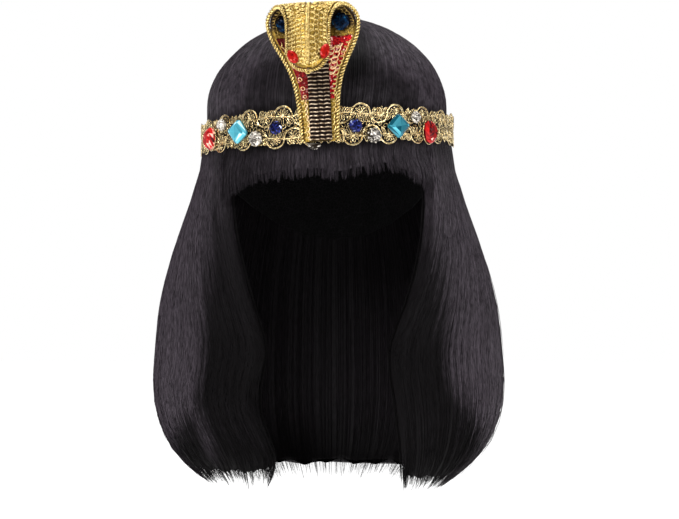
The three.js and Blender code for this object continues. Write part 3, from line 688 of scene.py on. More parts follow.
def crownPiece():
    foot = crown["foot"]
    tilt = np.concatenate([np.linspace(1, 90, crown["rows"]), [90, 90]])[:, None]
    below = np.concatenate([np.zeros(crown["rows"]), [foot / 2, foot]])[:, None]
    phi = np.linspace(0, 2 * np.pi, crown["columns"], endpoint=False)[None, :]
    flat, up = np.sin(np.radians(tilt)), np.cos(np.radians(tilt))
    ways = np.stack([flat * np.sin(phi), -flat * np.cos(phi), up + 0 * phi], axis=-1)
    outer, inner = [
        crownPoint(ways, -crown[name] + 0 * phi + 0 * tilt, below) for name in ("sink", "thick")
    ]
    rings = np.concatenate([outer, inner[::-1]])
    across = phi * crown["flowAcross"] * (crown["flowTop"] + flat)
    flow = np.stack([across, tilt + 0 * phi, 0 * phi * tilt], axis=-1)
    flow = np.concatenate([flow, flow[::-1]]).reshape(-1, 3)
    tone = crownPaintedShade(ways, outer)
    # The inside of the shell gets painted shade
    tone = np.concatenate([tone, crown["insideShade"] * tone[::-1]]).ravel()
    marks = {"flow": flow, "tone": tone}
    shell = meshPiece("crown_shell", rings, loft(*rings.shape[:2]), crownFinish, marks)
    standsFor(joined(shell, crownStrands()), "crown_hair_strands", "crown_hair")


def crownStrands():
    count, steps = crown["strands"], crown["steps"]
    phi = chance.uniform(-np.pi, np.pi, count)
    middle = crown["spread"] * np.sqrt(chance.uniform(crown["nearest"], 1, count))
    half = chance.uniform(*crown["half"], count)
    t = middle[:, None] + half[:, None] * np.linspace(-1, 1, steps)[None, :]
    t = np.clip(t, *crown["span"])
    start = unit(np.array(crown["whorl"]))
    end = np.stack([np.sin(phi), -np.cos(phi), 0 * phi], axis=-1)
    angle = np.arccos(np.clip(end @ start, -1, 1))[:, None]
    on = np.clip(t, 0, 1)
    ways = (np.sin((1 - on) * angle) / np.sin(angle))[..., None] * start
    ways = ways + (np.sin(on * angle) / np.sin(angle))[..., None] * end[:, None, :]
    below = np.clip(t - 1, 0, 1) * crown["pastFoot"]
    stray = (chance.uniform(0, 1, count) < crown["strays"])[:, None]
    stray = crown["strayLift"] * (stray * np.linspace(0, 1, steps)[None, :] ** 2)
    lift = chance.uniform(0, crown["lift"], count)[:, None]
    depth = -crown["sink"] + lift + stray * (t < crown["strayEnd"])
    lines = crownPoint(ways, depth, below)
    low, wide = crown["toneRange"]
    own = low + wide * chance.beta(*hair["ownSpread"], count)
    tone = crownPaintedShade(ways, lines) * own[:, None]
    return strandPiece("crown", lines, tone, crown["thin"], crownFinish)


crownPiece()
print("crown made")

# Fringe: a blunt short fall under the front of the band with a wispy hem
fringe = {
    "front": 101.5, "slit": 0.4, "thickTop": 5.0, "thickHem": 2.0, "rows": 14, "columns": 120,
    "sink": 0.9, "tuck": 5.0, "tuckAt": (0.78, 1), "strandTuck": 0.5, "shellShort": 4.5,
    "shellTone": 0.8, "insideShade": 0.2, "over": 0.02,
    "strands": 2500, "steps": 7, "thin": 0.9, "wisps": 130, "gather": 0.25, "sway": 0.004,
    "wave": 0.002, "lift": 0.7, "layers": (-1.6, 0.3), "tipVaries": 0.8, "strandShort": 3.0,
    "shortShape": 2, "longer": 3.0, "point": 2.0, "wispTone": 0.55, "wispSpread": (2, 3),
    "toneRange": (0.3, 1.5), "flowAcross": 100, "flowDown": 30,
}
# Hem and tone from the left end (-1) to the right end (1); the tone is painted shade, darkest
# towards the left end
hemRows = table(
    "across z tone",
    (-1, -121, 0.31),
    (-0.83, -116, 0.31),
    (-0.53, -108, 0.35),
    (-0.3, -105.2, 0.52),
    (-0.05, -103.4, 0.63),
    (0.18, -105.7, 0.58),
    (0.31, -102.2, 0.5),
    (0.55, -100.1, 0.5),
    (0.7, -104, 0.56),
    (0.85, -110.7, 0.6),
    (1, -116, 0.6),
)


def fringePoint(across, z, depth, tuck):
    drop = hair["seamZ"] - z
    left, right = [column(fallRows, side, drop) - fringe["slit"] for side in ("left", "right")]
    phi = np.radians(across * np.where(across < 0, left, right))
    reach = fringe["front"] + (column(fallRows, "front", drop) - fringe["front"]) * across**2
    return fallPoint(phi, drop, depth - tuck * smooth(np.abs(across), *fringe["tuckAt"]), reach)


def fringePiece():
    across = np.linspace(-1, 1, fringe["columns"])[None, :]
    t = np.linspace(0, 1, fringe["rows"])[:, None]
    hem = column(hemRows, "z", across) + fringe["shellShort"]
    z = hair["seamZ"] + (hem - hair["seamZ"]) * t
    thick = fringe["thickTop"] + (fringe["thickHem"] - fringe["thickTop"]) * t + 0 * across
    outer, inner = [
        fringePoint(across + 0 * t, z, -fringe["sink"] - cut, fringe["tuck"])
        for cut in (0 * thick, thick)
    ]
    flow = [across * fringe["flowAcross"] + 0 * t, t * fringe["flowDown"] + 0 * across, 0 * z]
    flow = np.stack(flow, axis=-1)
    flow = np.concatenate([flow, flow[:, ::-1]], axis=1).reshape(-1, 3)
    tone = column(hemRows, "tone", across) * fringe["shellTone"] * bandShadow(outer)
    # The inner side gets painted shade
    tone = np.concatenate([tone, fringe["insideShade"] * tone[:, ::-1]], axis=1).ravel()
    marks = {"flow": flow, "tone": tone}
    shell = sheetPiece("fringe_shell", outer, inner, hairFinish, marks)
    standsFor(joined(shell, fringeStrands()), "fringe_strands", "fringe")


def fringeStrands():
    count, wisps = fringe["strands"], fringe["wisps"]
    t = np.linspace(0, 1, fringe["steps"])[None, :]
    share, wisp, middle = gathered(fringe, -fringe["over"], 1 + fringe["over"], t)
    across = share * 2 - 1
    hem = column(hemRows, "z", across[:, -1]) - fringe["longer"]
    hem = hem + chance.normal(0, fringe["tipVaries"], wisps)[wisp]
    shape = fringe["shortShape"]
    hem = hem + chance.gamma(shape, fringe["strandShort"] / shape, count)
    hem = hem + fringe["point"] * np.abs(share[:, 0] - middle[wisp]) * wisps
    z = hair["seamZ"] + (hem - hair["seamZ"])[:, None] * t
    lift = chance.uniform(0, fringe["lift"], wisps)[wisp]
    depth = -fringe["sink"] + (lift + chance.uniform(*fringe["layers"], count))[:, None] * t
    lines = fringePoint(across, z, depth, fringe["strandTuck"] * fringe["tuck"])
    own = chance.beta(*fringe["wispSpread"], wisps)[wisp] * fringe["wispTone"]
    own = own + chance.beta(*hair["ownSpread"], count) * (1 - fringe["wispTone"])
    low, wide = fringe["toneRange"]
    tone = column(hemRows, "tone", across) * (low + wide * own)[:, None] * bandShadow(lines)
    return strandPiece("fringe", lines, tone, fringe["thin"])


fringePiece()
print("fringe made")


# Metal thread or wire in two tones, mottled by a fine grain
gold = {"grainEdge": (0.35, 0.65), "grainHeight": 0.0003, "grainBump": 0.4}


def goldSurface(name, light, dark, roughness, grain):
    surface = Surface(name, metallic=1.0, roughness=roughness)
    speck = surface.noise(surface.place(), grain)
    surface.set("color", surface.blend(surface.ramp(speck, *gold["grainEdge"]), dark, light))
    surface.bump(speck, gold["grainHeight"], gold["grainBump"])
    return surface


wireGold = goldSurface(
    "wire_gold", band["goldLight"], band["goldDark"], band["roughness"], band["grain"]
)


# Slim loops that start and end at a foot: each has a way, a length and a width
def loopLines(foot, way, length, width, out):
    t = np.linspace(0, 2 * np.pi, band["loopSteps"])[None, :]
    ahead = (1 - np.cos(t)) / 2
    along = length[:, None] * ahead
    aside = width[:, None] * np.sin(t) * (band["loopFoot"] + (1 - band["loopFoot"]) * ahead)
    c, s = np.cos(way)[:, None], np.sin(way)[:, None]
    run = foot[:, :1] + along * c - aside * s
    up = foot[:, 1:] + along * s + aside * c
    return bandPoint(run, up, out + band["loopArch"] * np.sin(t / 2) + 0 * run)


# A row's cord of two wires, which swings out round one lobe and in round the next
def rimLines(row, lobes, swing):
    turn = np.linspace(0, np.pi, band["rimSteps"] + 1)[None, :-1]
    lines = []
    for spread in (-1, 1):
        reach = lobe / 2 + swing * spread * band["rimSpread"]
        run = lobes[:, None] - reach[:, None] * np.cos(turn)
        up = row * (band["level"] + (swing * reach)[:, None] * np.sin(turn))
        out = band["rimOut"] + band["rimStep"] * spread
        line = bandPoint(run.ravel(), up.ravel(), out + 0 * up.ravel())
        lines.append(np.concatenate([line, line[:1]]))
    return np.stack(lines)


# Loops like spokes inside each lobe
def petalLines(row, lobes, swing):
    count = band["petals"]
    ways = np.radians(np.linspace(*band["petalSpan"], count))[None, :]
    ways = ways + chance.normal(0, band["petalTurn"], (len(lobes), count))
    spots = np.repeat(lobes, count)
    foot = np.stack([spots, np.full(len(spots), row * band["level"])], axis=-1)
    length = lobe / 2 - band["petalShort"]
    length = length * chance.uniform(*band["petalLengths"], len(foot))
    width = band["petalWidth"] * chance.uniform(*band["petalWidths"], len(foot))
    return loopLines(foot, (ways * (row * swing)[:, None]).ravel(), length, width, band["petalOut"])


# Loops side by side in each lobe's mouth: fanned to the other row, leaning where they face out
def combLines(row, lobes, swing):
    size = (len(lobes), band["combs"])
    offsets = np.linspace(-1, 1, band["combs"])[None, :]
    run = lobes[:, None] + band["combReach"] * offsets
    run = (run + chance.normal(0, band["combStray"], size)).ravel()
    facesIn = swing[:, None] > 0
    lean = np.where(facesIn, band["fan"] * offsets, band["lean"])
    ways = (-row * swing)[:, None] * (np.pi / 2 - lean)
    ways = ways + chance.normal(0, band["combTurn"], size)
    foot = np.stack([run, np.full(len(run), row * band["level"])], axis=-1)
    length = np.where(facesIn, band["innerComb"], band["outerComb"])
    length = (length * chance.uniform(*band["combLengths"], size)).ravel()
    return loopLines(foot, ways.ravel(), length, band["combWidth"] + 0 * run, band["combOut"])


# Round curls between the two rows
def curlLines(lobes):
    count = band["curls"]
    run = (lobes[:, None] + np.arange(count)[None, :] * lobe / count).ravel()
    run = run + chance.normal(0, band["curlStray"], len(run))
    ways = chance.uniform(0, 2 * np.pi, len(run))
    length = band["curlLength"] * chance.uniform(*band["curlLengths"], len(run))
    up = chance.normal(0, band["curlUp"], len(run))
    foot = np.stack([run - np.cos(ways) * length / 2, up - np.sin(ways) * length / 2], axis=-1)
    return loopLines(foot, ways, length, band["curlWidth"] + 0 * run, band["curlOut"])


def bandLace():
    index = np.arange(band["lobes"])
    swing = np.where(index % 2 == 0, 1, -1)
    run = np.linspace(0, bandLength, band["lobes"] * band["cordSteps"] + 1)
    rims, loops, cords = [], [curlLines(index * lobe)], []
    for row, start in ((1, band["archAt"]), (-1, band["cupAt"])):
        lobes = bandLength / 2 + start + index * lobe
        rims.append(rimLines(row, lobes, swing))
        loops += [petalLines(row, lobes, swing), combLines(row, lobes, swing)]
        for phase in (0, np.pi):
            twist = run * band["cordTwist"] + phase
            height = row * band["level"] + band["cordSwing"] * np.sin(np.pi * run / lobe)
            height = height + band["cordWide"] * np.cos(twist)
            cords.append(bandPoint(run, height, band["cordOut"] + band["cordDeep"] * np.sin(twist)))
    return [
        tubePiece("band_rims", np.concatenate(rims), band["rimRadius"], wireGold, sides=5),
        tubePiece("band_loops", np.concatenate(loops), band["wireRadius"], wireGold, sides=4),
        tubePiece("band_cords", np.stack(cords), band["cordRadius"], wireGold, sides=4),
    ]


# Stones: outlines, sizes and places on the band
stoneCuts = {
    "blue_stone": {"cut": "round", "width": 9.2, "height": 9.2, "rise": 3.4},
    "rhinestone_lower": {"cut": "round", "width": 9.8, "height": 9.8, "rise": 4.6},
    "turquoise_stone": {"cut": "lozenge", "width": 20.0, "height": 17.8, "rise": 4.2},
    "rhinestone_upper": {"cut": "round", "width": 7.6, "height": 7.6, "rise": 4.2},
    "red_stone": {"cut": "oval", "width": 12.6, "height": 15.8, "rise": 5.6},
    "rhinestone_base": {"cut": "half", "width": 9.4, "height": 9.4, "rise": 2.6},
}
# Each stone's shine is how much painted light its facets get
stonePlaces = table(
    "name angle up turn shine",
    ("blue_stone_left", -17.5, -0.2, 0, 0.04),
    ("blue_stone_right", 16.9, -1.2, 0, 0.22),
    ("rhinestone_lower_left", -27.1, -6.4, 0, 0.3),
    ("rhinestone_lower_right", 25.1, -7.8, 0, 0.0),
    ("turquoise_stone_left", -36.9, -0.5, -7, 0.65),
    ("turquoise_stone_right", 36.8, -1.4, 4, 0.22),
    ("rhinestone_upper_left", -47.3, 5.8, 0, 0.55),
    ("rhinestone_upper_right", 46.0, 4.9, 0, 0.26),
    ("red_stone_left", -56.8, -2.2, -12, 0.6),
    ("red_stone_right", 54.8, -4.5, 6, 0.2),
    ("rhinestone_base", -0.6, -11.8, 0, -0.12),
)
# Foil colours of each finish: dark and light are painted shaded and lit facets, flash is a painted
# highlight
jewels = {
    "blue_stone": {
        "dark": (0.001, 0.001, 0.012, 1), "light": (0.03, 0.045, 0.3, 1),
        "flash": (0.5, 0.56, 0.85, 1), "spread": 0.46, "gloss": 0.2,
    },
    "turquoise_stone": {
        "dark": (0.002, 0.06, 0.09, 1), "light": (0.11, 0.5, 0.62, 1),
        "flash": (0.5, 0.85, 0.95, 1), "spread": 0.3, "gloss": 0.22,
    },
    "red_stone": {
        "dark": (0.05, 0.0, 0.001, 1), "light": (0.66, 0.014, 0.014, 1),
        "flash": (1.0, 0.5, 0.4, 1), "spread": 0.36, "gloss": 0.22,
    },
    "eye_stone": {
        "dark": (0.13, 0.001, 0.001, 1), "light": (0.54, 0.014, 0.008, 1),
        "flash": (0.8, 0.2, 0.12, 1), "spread": 0.3, "gloss": 0.12,
    },
    "clear_stone": {
        "dark": (0.012, 0.008, 0.005, 1), "light": (0.84, 0.77, 0.68, 1),
        "flash": (0.95, 0.9, 0.82, 1), "spread": 0.5, "gloss": 0.22,
    },
    "teal_stone": {
        "dark": (0.001, 0.001, 0.003, 1), "light": (0.002, 0.02, 0.06, 1),
        "flash": (0.01, 0.07, 0.15, 1), "spread": 0.4, "gloss": 0.07,
    },
}
mounting = {
    "wireGrow": 0.9, "wireRise": 0.5, "wireRadius": 0.27, "wireSteps": 24,
    "beads": 9, "beadRadius": 0.85, "beadIn": 0.3, "beadRise": 1.5,
}
# Facets from girdle to table: rise, share of the outline, and a half step round
facetRings = ((0.0, 0.96, 0), (0.35, 1.0, 0), (0.78, 0.82, 1), (1.0, 0.56, 0))
facetCounts = {"round": 16, "oval": 16, "marquise": 12, "half": 11, "lozenge": 8}
acrylic = {
    "metallic": 0.2, "roughness": 0.1, "flashFrom": 0.88, "tableCalm": 0.5,
    "lozengeCorner": 7.0, "marquisePoint": 0.35,
}


# Foil-backed acrylic with painted reflections: each facet is painted a lighter or darker share of
# the foil, and the lightest get a painted flash
def jewelSurface(name, row):
    surface = Surface(
        name, metallic=acrylic["metallic"], roughness=acrylic["roughness"], specular=row["gloss"]
    )
    glint = surface.attribute("glint")
    foil = surface.blend(glint, row["dark"], row["light"])
    flash = surface.ramp(glint, acrylic["flashFrom"], 1.0)
    surface.set("color", surface.blend(flash, foil, row["flash"]))
    return surface


jewelFinish = {name: jewelSurface(name, row) for name, row in jewels.items()}
silver = Surface("silver", color=(0.46, 0.42, 0.36, 1), metallic=1.0, roughness=0.28)


def outline(cut, width, height, count):
    turn = (np.arange(count) + 0.5) * 2 * np.pi / count
    x, y = np.cos(turn), np.sin(turn)
    if cut == "lozenge":
        quarter = np.arange(count) // (count // 4) * np.pi / 2
        corner = acrylic["lozengeCorner"]
        turn = quarter + np.radians(np.tile([-corner, corner], count // 2))
        along = 1 / (np.abs(np.cos(turn)) + np.abs(np.sin(turn)))
        x, y = along * np.cos(turn), along * np.sin(turn)
    if cut == "marquise":
        x = x * np.abs(x) ** acrylic["marquisePoint"]
    if cut == "half":
        turn = np.pi * (1 + np.arange(count) / (count - 1))
        x, y = np.cos(turn), np.sin(turn)
    return np.stack([x * width / 2, y * height / 2], axis=-1)


# A flat-backed cut stone at a point, facing out, its height along up
def stonePiece(name, row, jewel, shine, point, facing, up):
    count = facetCounts[row["cut"]]
    rim = outline(row["cut"], row["width"], row["height"], count)
    middle = rim.mean(axis=0)
    turned = 0 if row["cut"] in ("lozenge", "half") else 0.5
    across = np.cross(up, facing)
    rings = []
    for rise, share, step in facetRings:
        ring = rim + (np.roll(rim, -1, axis=0) - rim) * turned * step
        ring = (ring - middle) * share + middle
        flat = point + ring[:, :1] * across + ring[:, 1:] * up
        rings.append(flat + rise * row["rise"] * facing)
    points = np.concatenate([*rings, rings[-1].mean(axis=0)[None]])
    top = (len(rings) - 1) * count
    faces = [tuple(range(count))]
    for i in range(top):
        ahead = i // count * count + (i + 1) % count
        faces += [(i, ahead, ahead + count), (i, ahead + count, i + count)]
    faces += [(top + i, top + (i + 1) % count, top + count) for i in range(count)]
    piece = meshPiece(name, points, faces, jewelFinish[jewel], rounded=False)
    onTable = np.arange(len(faces)) >= len(faces) - count
    spread = jewels[jewel]["spread"] * np.where(onTable, acrylic["tableCalm"], 1)
    glint = np.clip(shine + chance.normal(0, 1, len(faces)) * spread, 0, 1).astype(np.float32)
    piece.data.attributes.new("glint", "FLOAT", "FACE").data.foreach_set("value", glint)
    return piece


# A wire round a stone's girdle
def settingWire(row, point, facing, up):
    across = np.cross(up, facing)
    width, height = row["width"] + mounting["wireGrow"], row["height"] + mounting["wireGrow"]
    rim = outline(row["cut"], width, height, mounting["wireSteps"])
    ring = np.concatenate([rim, rim[:1]])
    line = point + ring[:, :1] * across + ring[:, 1:] * up + mounting["wireRise"] * facing
    return tubePiece("setting_wire", line[None], mounting["wireRadius"], wireGold, sides=6)


# A ring of small silver beads that holds a clear stone
def beadRing(row, point, facing, up):
    turn = (np.arange(mounting["beads"]) * 2 * np.pi / mounting["beads"])[:, None]
    reach = row["width"] / 2 - mounting["beadIn"]
    across = np.cross(up, facing)
    spots = point + reach * (np.cos(turn) * across + np.sin(turn) * up)
    spots = spots + mounting["beadRise"] * facing
    return beadPiece("setting_beads", spots, mounting["beadRadius"], silver)


def bandStones():
    wires = []
    upright = np.array([0.0, 0.0, 1.0])
    for row in stonePlaces:
        name = row["name"]
        kind = name.removesuffix("_left").removesuffix("_right")
        cut = stoneCuts[kind]
        phi, turn = math.radians(row["angle"]), math.radians(row["turn"])
        facing = unit(np.array([math.sin(phi) / band["side"], -math.cos(phi) / band["front"], 0]))
        run = np.interp(phi, bandTurns, bandRun)
        point = bandPoint(run, 0.0, band["thick"] + band["gap"]) + row["up"] * upright
        up = upright * math.cos(turn) - np.cross(upright, facing) * math.sin(turn)
        clear = kind.startswith("rhinestone")
        finish = "clear_stone" if clear else kind
        stone = stonePiece(name, cut, finish, row["shine"], point, facing, up)
        if clear and cut["cut"] == "round":
            stone = joined(stone, beadRing(cut, point, facing, up))
        standsFor(stone, name + "_cut", name)
        if kind == "red_stone":
            wires.append(settingWire(cut, point, facing, up))
    return wires


standsFor(joined(*bandLace(), *bandStones()), "filigree_lace", "filigree_band")
print("headband and stones made")

# Cobra: a strip that rises from the band, spreads into a hood and hooks over into the head
cobra = {
    "angle": 1.8, "z": -82.0, "lean": -2.8, "thick": 1.8, "standoff": 1.45, "margin": 0.8,
    "stem": 77.0, "hook": 13.0, "bend": 162.0, "tipFrom": 141,
    "rows": 108, "tipRows": 10, "columns": 25,
    "weaveLight": (0.44, 0.28, 0.05, 1), "weaveDark": (0.1, 0.058, 0.009, 1),
    "weaveGrain": 1100.0, "weaveHeight": 0.0004, "weaveBump": 0.5,
    "hollowShade": (0.012, 0.006, 0.003, 1), "hollowShadeFrom": (70, 77), "hollowShadeTo": (104, 116),
    "footShade": 0.9, "footTo": (1.0, 2.6), "footHalf": 0.8, "coilRise": 0.4, "headRise": 0.45,
    "ridgeFrom": 98, "ridgeShort": 2, "ridgeSteps": 140, "ridgeProud": (96, 109), "ridgeTwist": 1.5,
    "ridgeWide": 1.1, "ridgeHigh": 0.9, "ridgeDeep": 0.7, "ridgeWire": 0.52,
}
hoodRows = table(
    "along half cup drift",
    (0, 9.2, -0.5, 0.3),
    (14, 9.8, -0.4, 0.3),
    (26, 10.8, 0.6, 0.2),
    (38, 12.6, 1.6, 0.2),
    (48, 15.6, 2.6, 0.2),
    (57, 19.8, 3.6, 0.2),
    (66, 24.4, 4.2, 0),
    (75, 27.4, 4, -0.4),
    (84, 27, 2, -0.8),
    (93, 21.5, 0.4, -1.4),
    (102, 15.8, 0.8, -2.2),
    (112, 12.4, 2.4, -2.9),
    (124, 11.6, 3.4, -3.4),
    (136, 11.4, 3.6, -3.6),
    (141, 10.2, 3.2, -3.7),
    (144.9, 8, 2.6, -3.8),
    (147.9, 4.7, 2, -3.9),
    (149.3, 1.5, 1.4, -3.9),
)
hoodEnd = hoodRows[-1]["along"]
cobraRun = np.interp(math.radians(cobra["angle"]), bandTurns, bandRun)
cobraFoot = bandPoint(cobraRun, 0.0, band["thick"])


# From the cobra's own frame to the wig's
def stand(x, y, z):
    lean, turn = math.radians(cobra["lean"]), math.radians(cobra["angle"])
    x, z = x * math.cos(lean) + z * math.sin(lean), z * math.cos(lean) - x * math.sin(lean)
    x, y = x * math.cos(turn) - y * math.sin(turn), x * math.sin(turn) + y * math.cos(turn)
    return np.stack([x + cobraFoot[0], y + cobraFoot[1], z + cobra["z"]], axis=-1)


# A point of the strip at a share of its half-width.
# It is raised to the strip's outer side, which is the stem's back and the head's top.
def stripPoint(share, along, rise):
    half, cup, drift = [column(hoodRows, name, along) for name in ("half", "cup", "drift")]
    stem, hook, most = cobra["stem"], cobra["hook"], math.radians(cobra["bend"])
    bend = np.clip((along - stem) / hook, 0, most)
    head = np.maximum(0, along - stem - hook * most)
    y = -cobra["standoff"] - hook * (1 - np.cos(bend)) - head * np.sin(bend)
    z = np.minimum(along, stem) + hook * np.sin(bend) + head * np.cos(bend)
    out = rise - cup * share * share
    return stand(drift + share * half, y + np.cos(bend) * out, z + np.sin(bend) * out)


# Steps along the strip, closer together round the head's tip
def stripSteps(rows, tipRows):
    body = np.linspace(0, cobra["tipFrom"] - 1, rows)
    return np.concatenate([body, np.linspace(cobra["tipFrom"], hoodEnd, tipRows)])


# Gold cloth, painted with shade through the lit attribute: nearly black inside the hood and at the
# strip's foot
def weaveSurface():
    surface = Surface("gold_weave", metallic=0.9, roughness=0.4)
    speck = surface.noise(surface.place(), cobra["weaveGrain"])
    grain = surface.ramp(speck, *gold["grainEdge"])
    cloth = surface.blend(grain, cobra["weaveDark"], cobra["weaveLight"])
    surface.set("color", surface.blend(surface.attribute("lit"), cobra["hollowShade"], cloth))
    surface.bump(speck, cobra["weaveHeight"], cobra["weaveBump"])
    return surface


weave = weaveSurface()
# The second thread is a darker copy of the gold thread: painted shade for the coils inside the hood
threadFinishes = table(
    "name light dark roughness grain",
    ("gold_thread", (0.94, 0.755, 0.33, 1), (0.28, 0.16, 0.024, 1), 0.28, 1000.0),
    ("dim_thread", (0.42, 0.29, 0.09, 1), (0.09, 0.05, 0.013, 1), 0.35, 900.0),
    ("pale_thread", (1.0, 0.84, 0.54, 1), (0.8, 0.46, 0.2, 1), 0.35, 700.0),
)
thread, shadedThread, paleThread = [goldSurface(**row) for row in threadFinishes]

# Running loops on the strip: share of the half-width, stretch, pitch, size and wire
coil = {"steps": 9, "sizes": (0.7, 1.2), "slant": 0.8, "stray": 0.3, "over": 0.25, "sides": 5}
coilNames = "share from to pitch size wire"
headCoils = table(
    coilNames,
    (-0.24, 84, 147, 3.3, 1.7, 0.4),
    (-0.52, 84, 145.5, 3.0, 1.6, 0.4),
    (-0.82, 84, 139, 2.8, 1.4, 0.4),
    (0.27, 84, 147, 4.2, 2.0, 0.46),
    (0.55, 84, 145.5, 3.4, 1.3, 0.36),
    (0.81, 84, 138, 4.0, 1.7, 0.44),
    *[(share, 84, 103, 3.1, 1.7, 0.4) for share in (-0.38, -0.67, 0.41, 0.68)],
    *[(share, 138, 149, 2.8, 1.3, 0.4) for share in (-0.4, 0.4)],
    *[(share, 137, 147.5, 2.8, 1.3, 0.4) for share in (-0.72, 0.72)],
    *[(share, 84, 141, 2.7, 1.3, 0.4) for share in (-0.97, 0.97)],
)
stemCoils = table(coilNames, (-0.93, 1, 29, 3.2, 1.3, 0.4), (0.97, 1, 32, 3.6, 1.2, 0.38))
hollowCoils = table(
    coilNames,
    (-0.93, 68, 100, 2.6, 1.2, 0.34),
    (0.93, 68, 100, 2.6, 1.2, 0.34),
    (-0.8, 70, 92, 3.0, 1.2, 0.28),
    (0.8, 70, 92, 3.0, 1.2, 0.28),
    (0.35, 68, 97, 3.0, 1.3, 0.3),
    (0.6, 68, 74, 2.8, 1.5, 0.34),
)
paleCoils = table(coilNames, (-0.76, 1, 28, 3.4, 0.7, 0.5))


def coilLine(row, rise):
    loops = int((row["to"] - row["from"]) / row["pitch"])
    joints = np.arange(loops + 1)
    t = np.linspace(0, loops, loops * coil["steps"] + 1)
    turn = 2 * np.pi * t
    size = row["size"] * np.interp(t, joints, chance.uniform(*coil["sizes"], loops + 1))
    stray = np.interp(t, joints, chance.normal(0, coil["stray"], loops + 1))
    along = row["from"] + t * (row["to"] - row["from"]) / loops
    along = along + coil["slant"] * size * np.sin(turn)
    share = row["share"] + (size * np.cos(turn) + stray) / column(hoodRows, "half", along)
    return stripPoint(share, along, rise + coil["over"] * np.sin(2 * turn))


def threadPiece(line, row, finish):
    return tubePiece("thread", line[None], row["wire"], finish, coil["sides"])


def coils(rows, rise, finish):
    return [threadPiece(coilLine(row, rise), row, finish) for row in rows]


def hoodPiece():
    along = stripSteps(cobra["rows"], cobra["tipRows"])[:, None]
    share = np.linspace(1, -1, cobra["columns"])[None, :]
    share = share * (1 + cobra["margin"] / column(hoodRows, "half", along))
    face = cobra["thick"] / 2
    outer, inner = [stripPoint(share, along + 0 * share, side * face) for side in (1, -1)]
    # Painted shade: the inside of the hood and the strip's foot are darkened through the lit
    # attribute
    hollowShade = smooth(along, *cobra["hollowShadeFrom"]) * (1 - smooth(along, *cobra["hollowShadeTo"]))
    foot = (1 - smooth(along, *cobra["footTo"])) * (np.abs(share) < cobra["footHalf"])
    foot = cobra["footShade"] * foot
    lit = np.concatenate([1 - foot, 1 - np.maximum(hollowShade + 0 * share, foot)], axis=1).ravel()
    parts = [sheetPiece("hood_strip", outer, inner, weave, {"lit": lit})]
    under = -face - cobra["coilRise"]
    parts += coils(headCoils, face + cobra["headRise"], thread) + coils(stemCoils, under, thread)
    parts += coils(hollowCoils, under, shadedThread) + coils(paleCoils, under, paleThread)
    ridgeEnd = hoodEnd - cobra["ridgeShort"]
    ridge = np.linspace(cobra["ridgeFrom"], ridgeEnd, cobra["ridgeSteps"])
    proud = smooth(ridge, *cobra["ridgeProud"])
    half = column(hoodRows, "half", ridge)
    twists = []
    for start in (0, 2 * np.pi / 3, 4 * np.pi / 3):
        turn = ridge * cobra["ridgeTwist"] + start
        high = (cobra["ridgeHigh"] + cobra["ridgeDeep"] * np.sin(turn)) * proud
        twists.append(stripPoint(cobra["ridgeWide"] * np.cos(turn) / half, ridge, face + high))
    parts.append(tubePiece("hood_ridge", np.stack(twists), cobra["ridgeWire"], thread, sides=6))
    standsFor(joined(*parts), "cobra_hood_trim", "cobra_hood")


# A twisted cord along the strip's edge, from one foot round the head's tip to the other foot
braid = {
    "radius": 1.65, "clear": 0.75, "pitch": 4.4, "strands": 2, "strandRadius": 0.66,
    "rows": 120, "tipRows": 14, "step": 0.5,
    "edgeFrom": 0.9, "tipBack": 2.0, "upright": (0.3, 1.0, 0.2),
    "core": 0.8, "coreLit": 0.2, "headCoreLit": 0.55,
    "headReach": 56.0, "headPitch": 3.2, "headWire": 0.44, "headRadius": 1.5, "headStrands": 2,
}


def braidPath():
    away = braid["radius"] + braid["clear"]
    along = stripSteps(braid["rows"], braid["tipRows"])
    sides = []
    for sign in (-1, 1):
        edge = stripPoint(sign + 0 * along, along, 0.0)
        run = unit(np.gradient(edge, axis=0))
        level = edge - stripPoint(braid["edgeFrom"] * sign + 0 * along, along, 0.0)
        level = level - (level * run).sum(axis=1, keepdims=True) * run
        sides.append(edge + away * unit(level))
    tip, behind = [
        stripPoint(np.zeros(1), np.array([hoodEnd - back]), 0.0) for back in (0.0, braid["tipBack"])
    ]
    tip = tip + (away + 2 * braid["clear"]) * unit(tip - behind)
    path = np.concatenate([sides[0], tip, sides[1][::-1]])
    run = np.concatenate([[0], np.linalg.norm(np.diff(path, axis=0), axis=1).cumsum()])
    even = np.linspace(0, run[-1], int(run[-1] / braid["step"]))
    return even, np.stack([np.interp(even, run, path[:, axis]) for axis in range(3)], axis=-1)


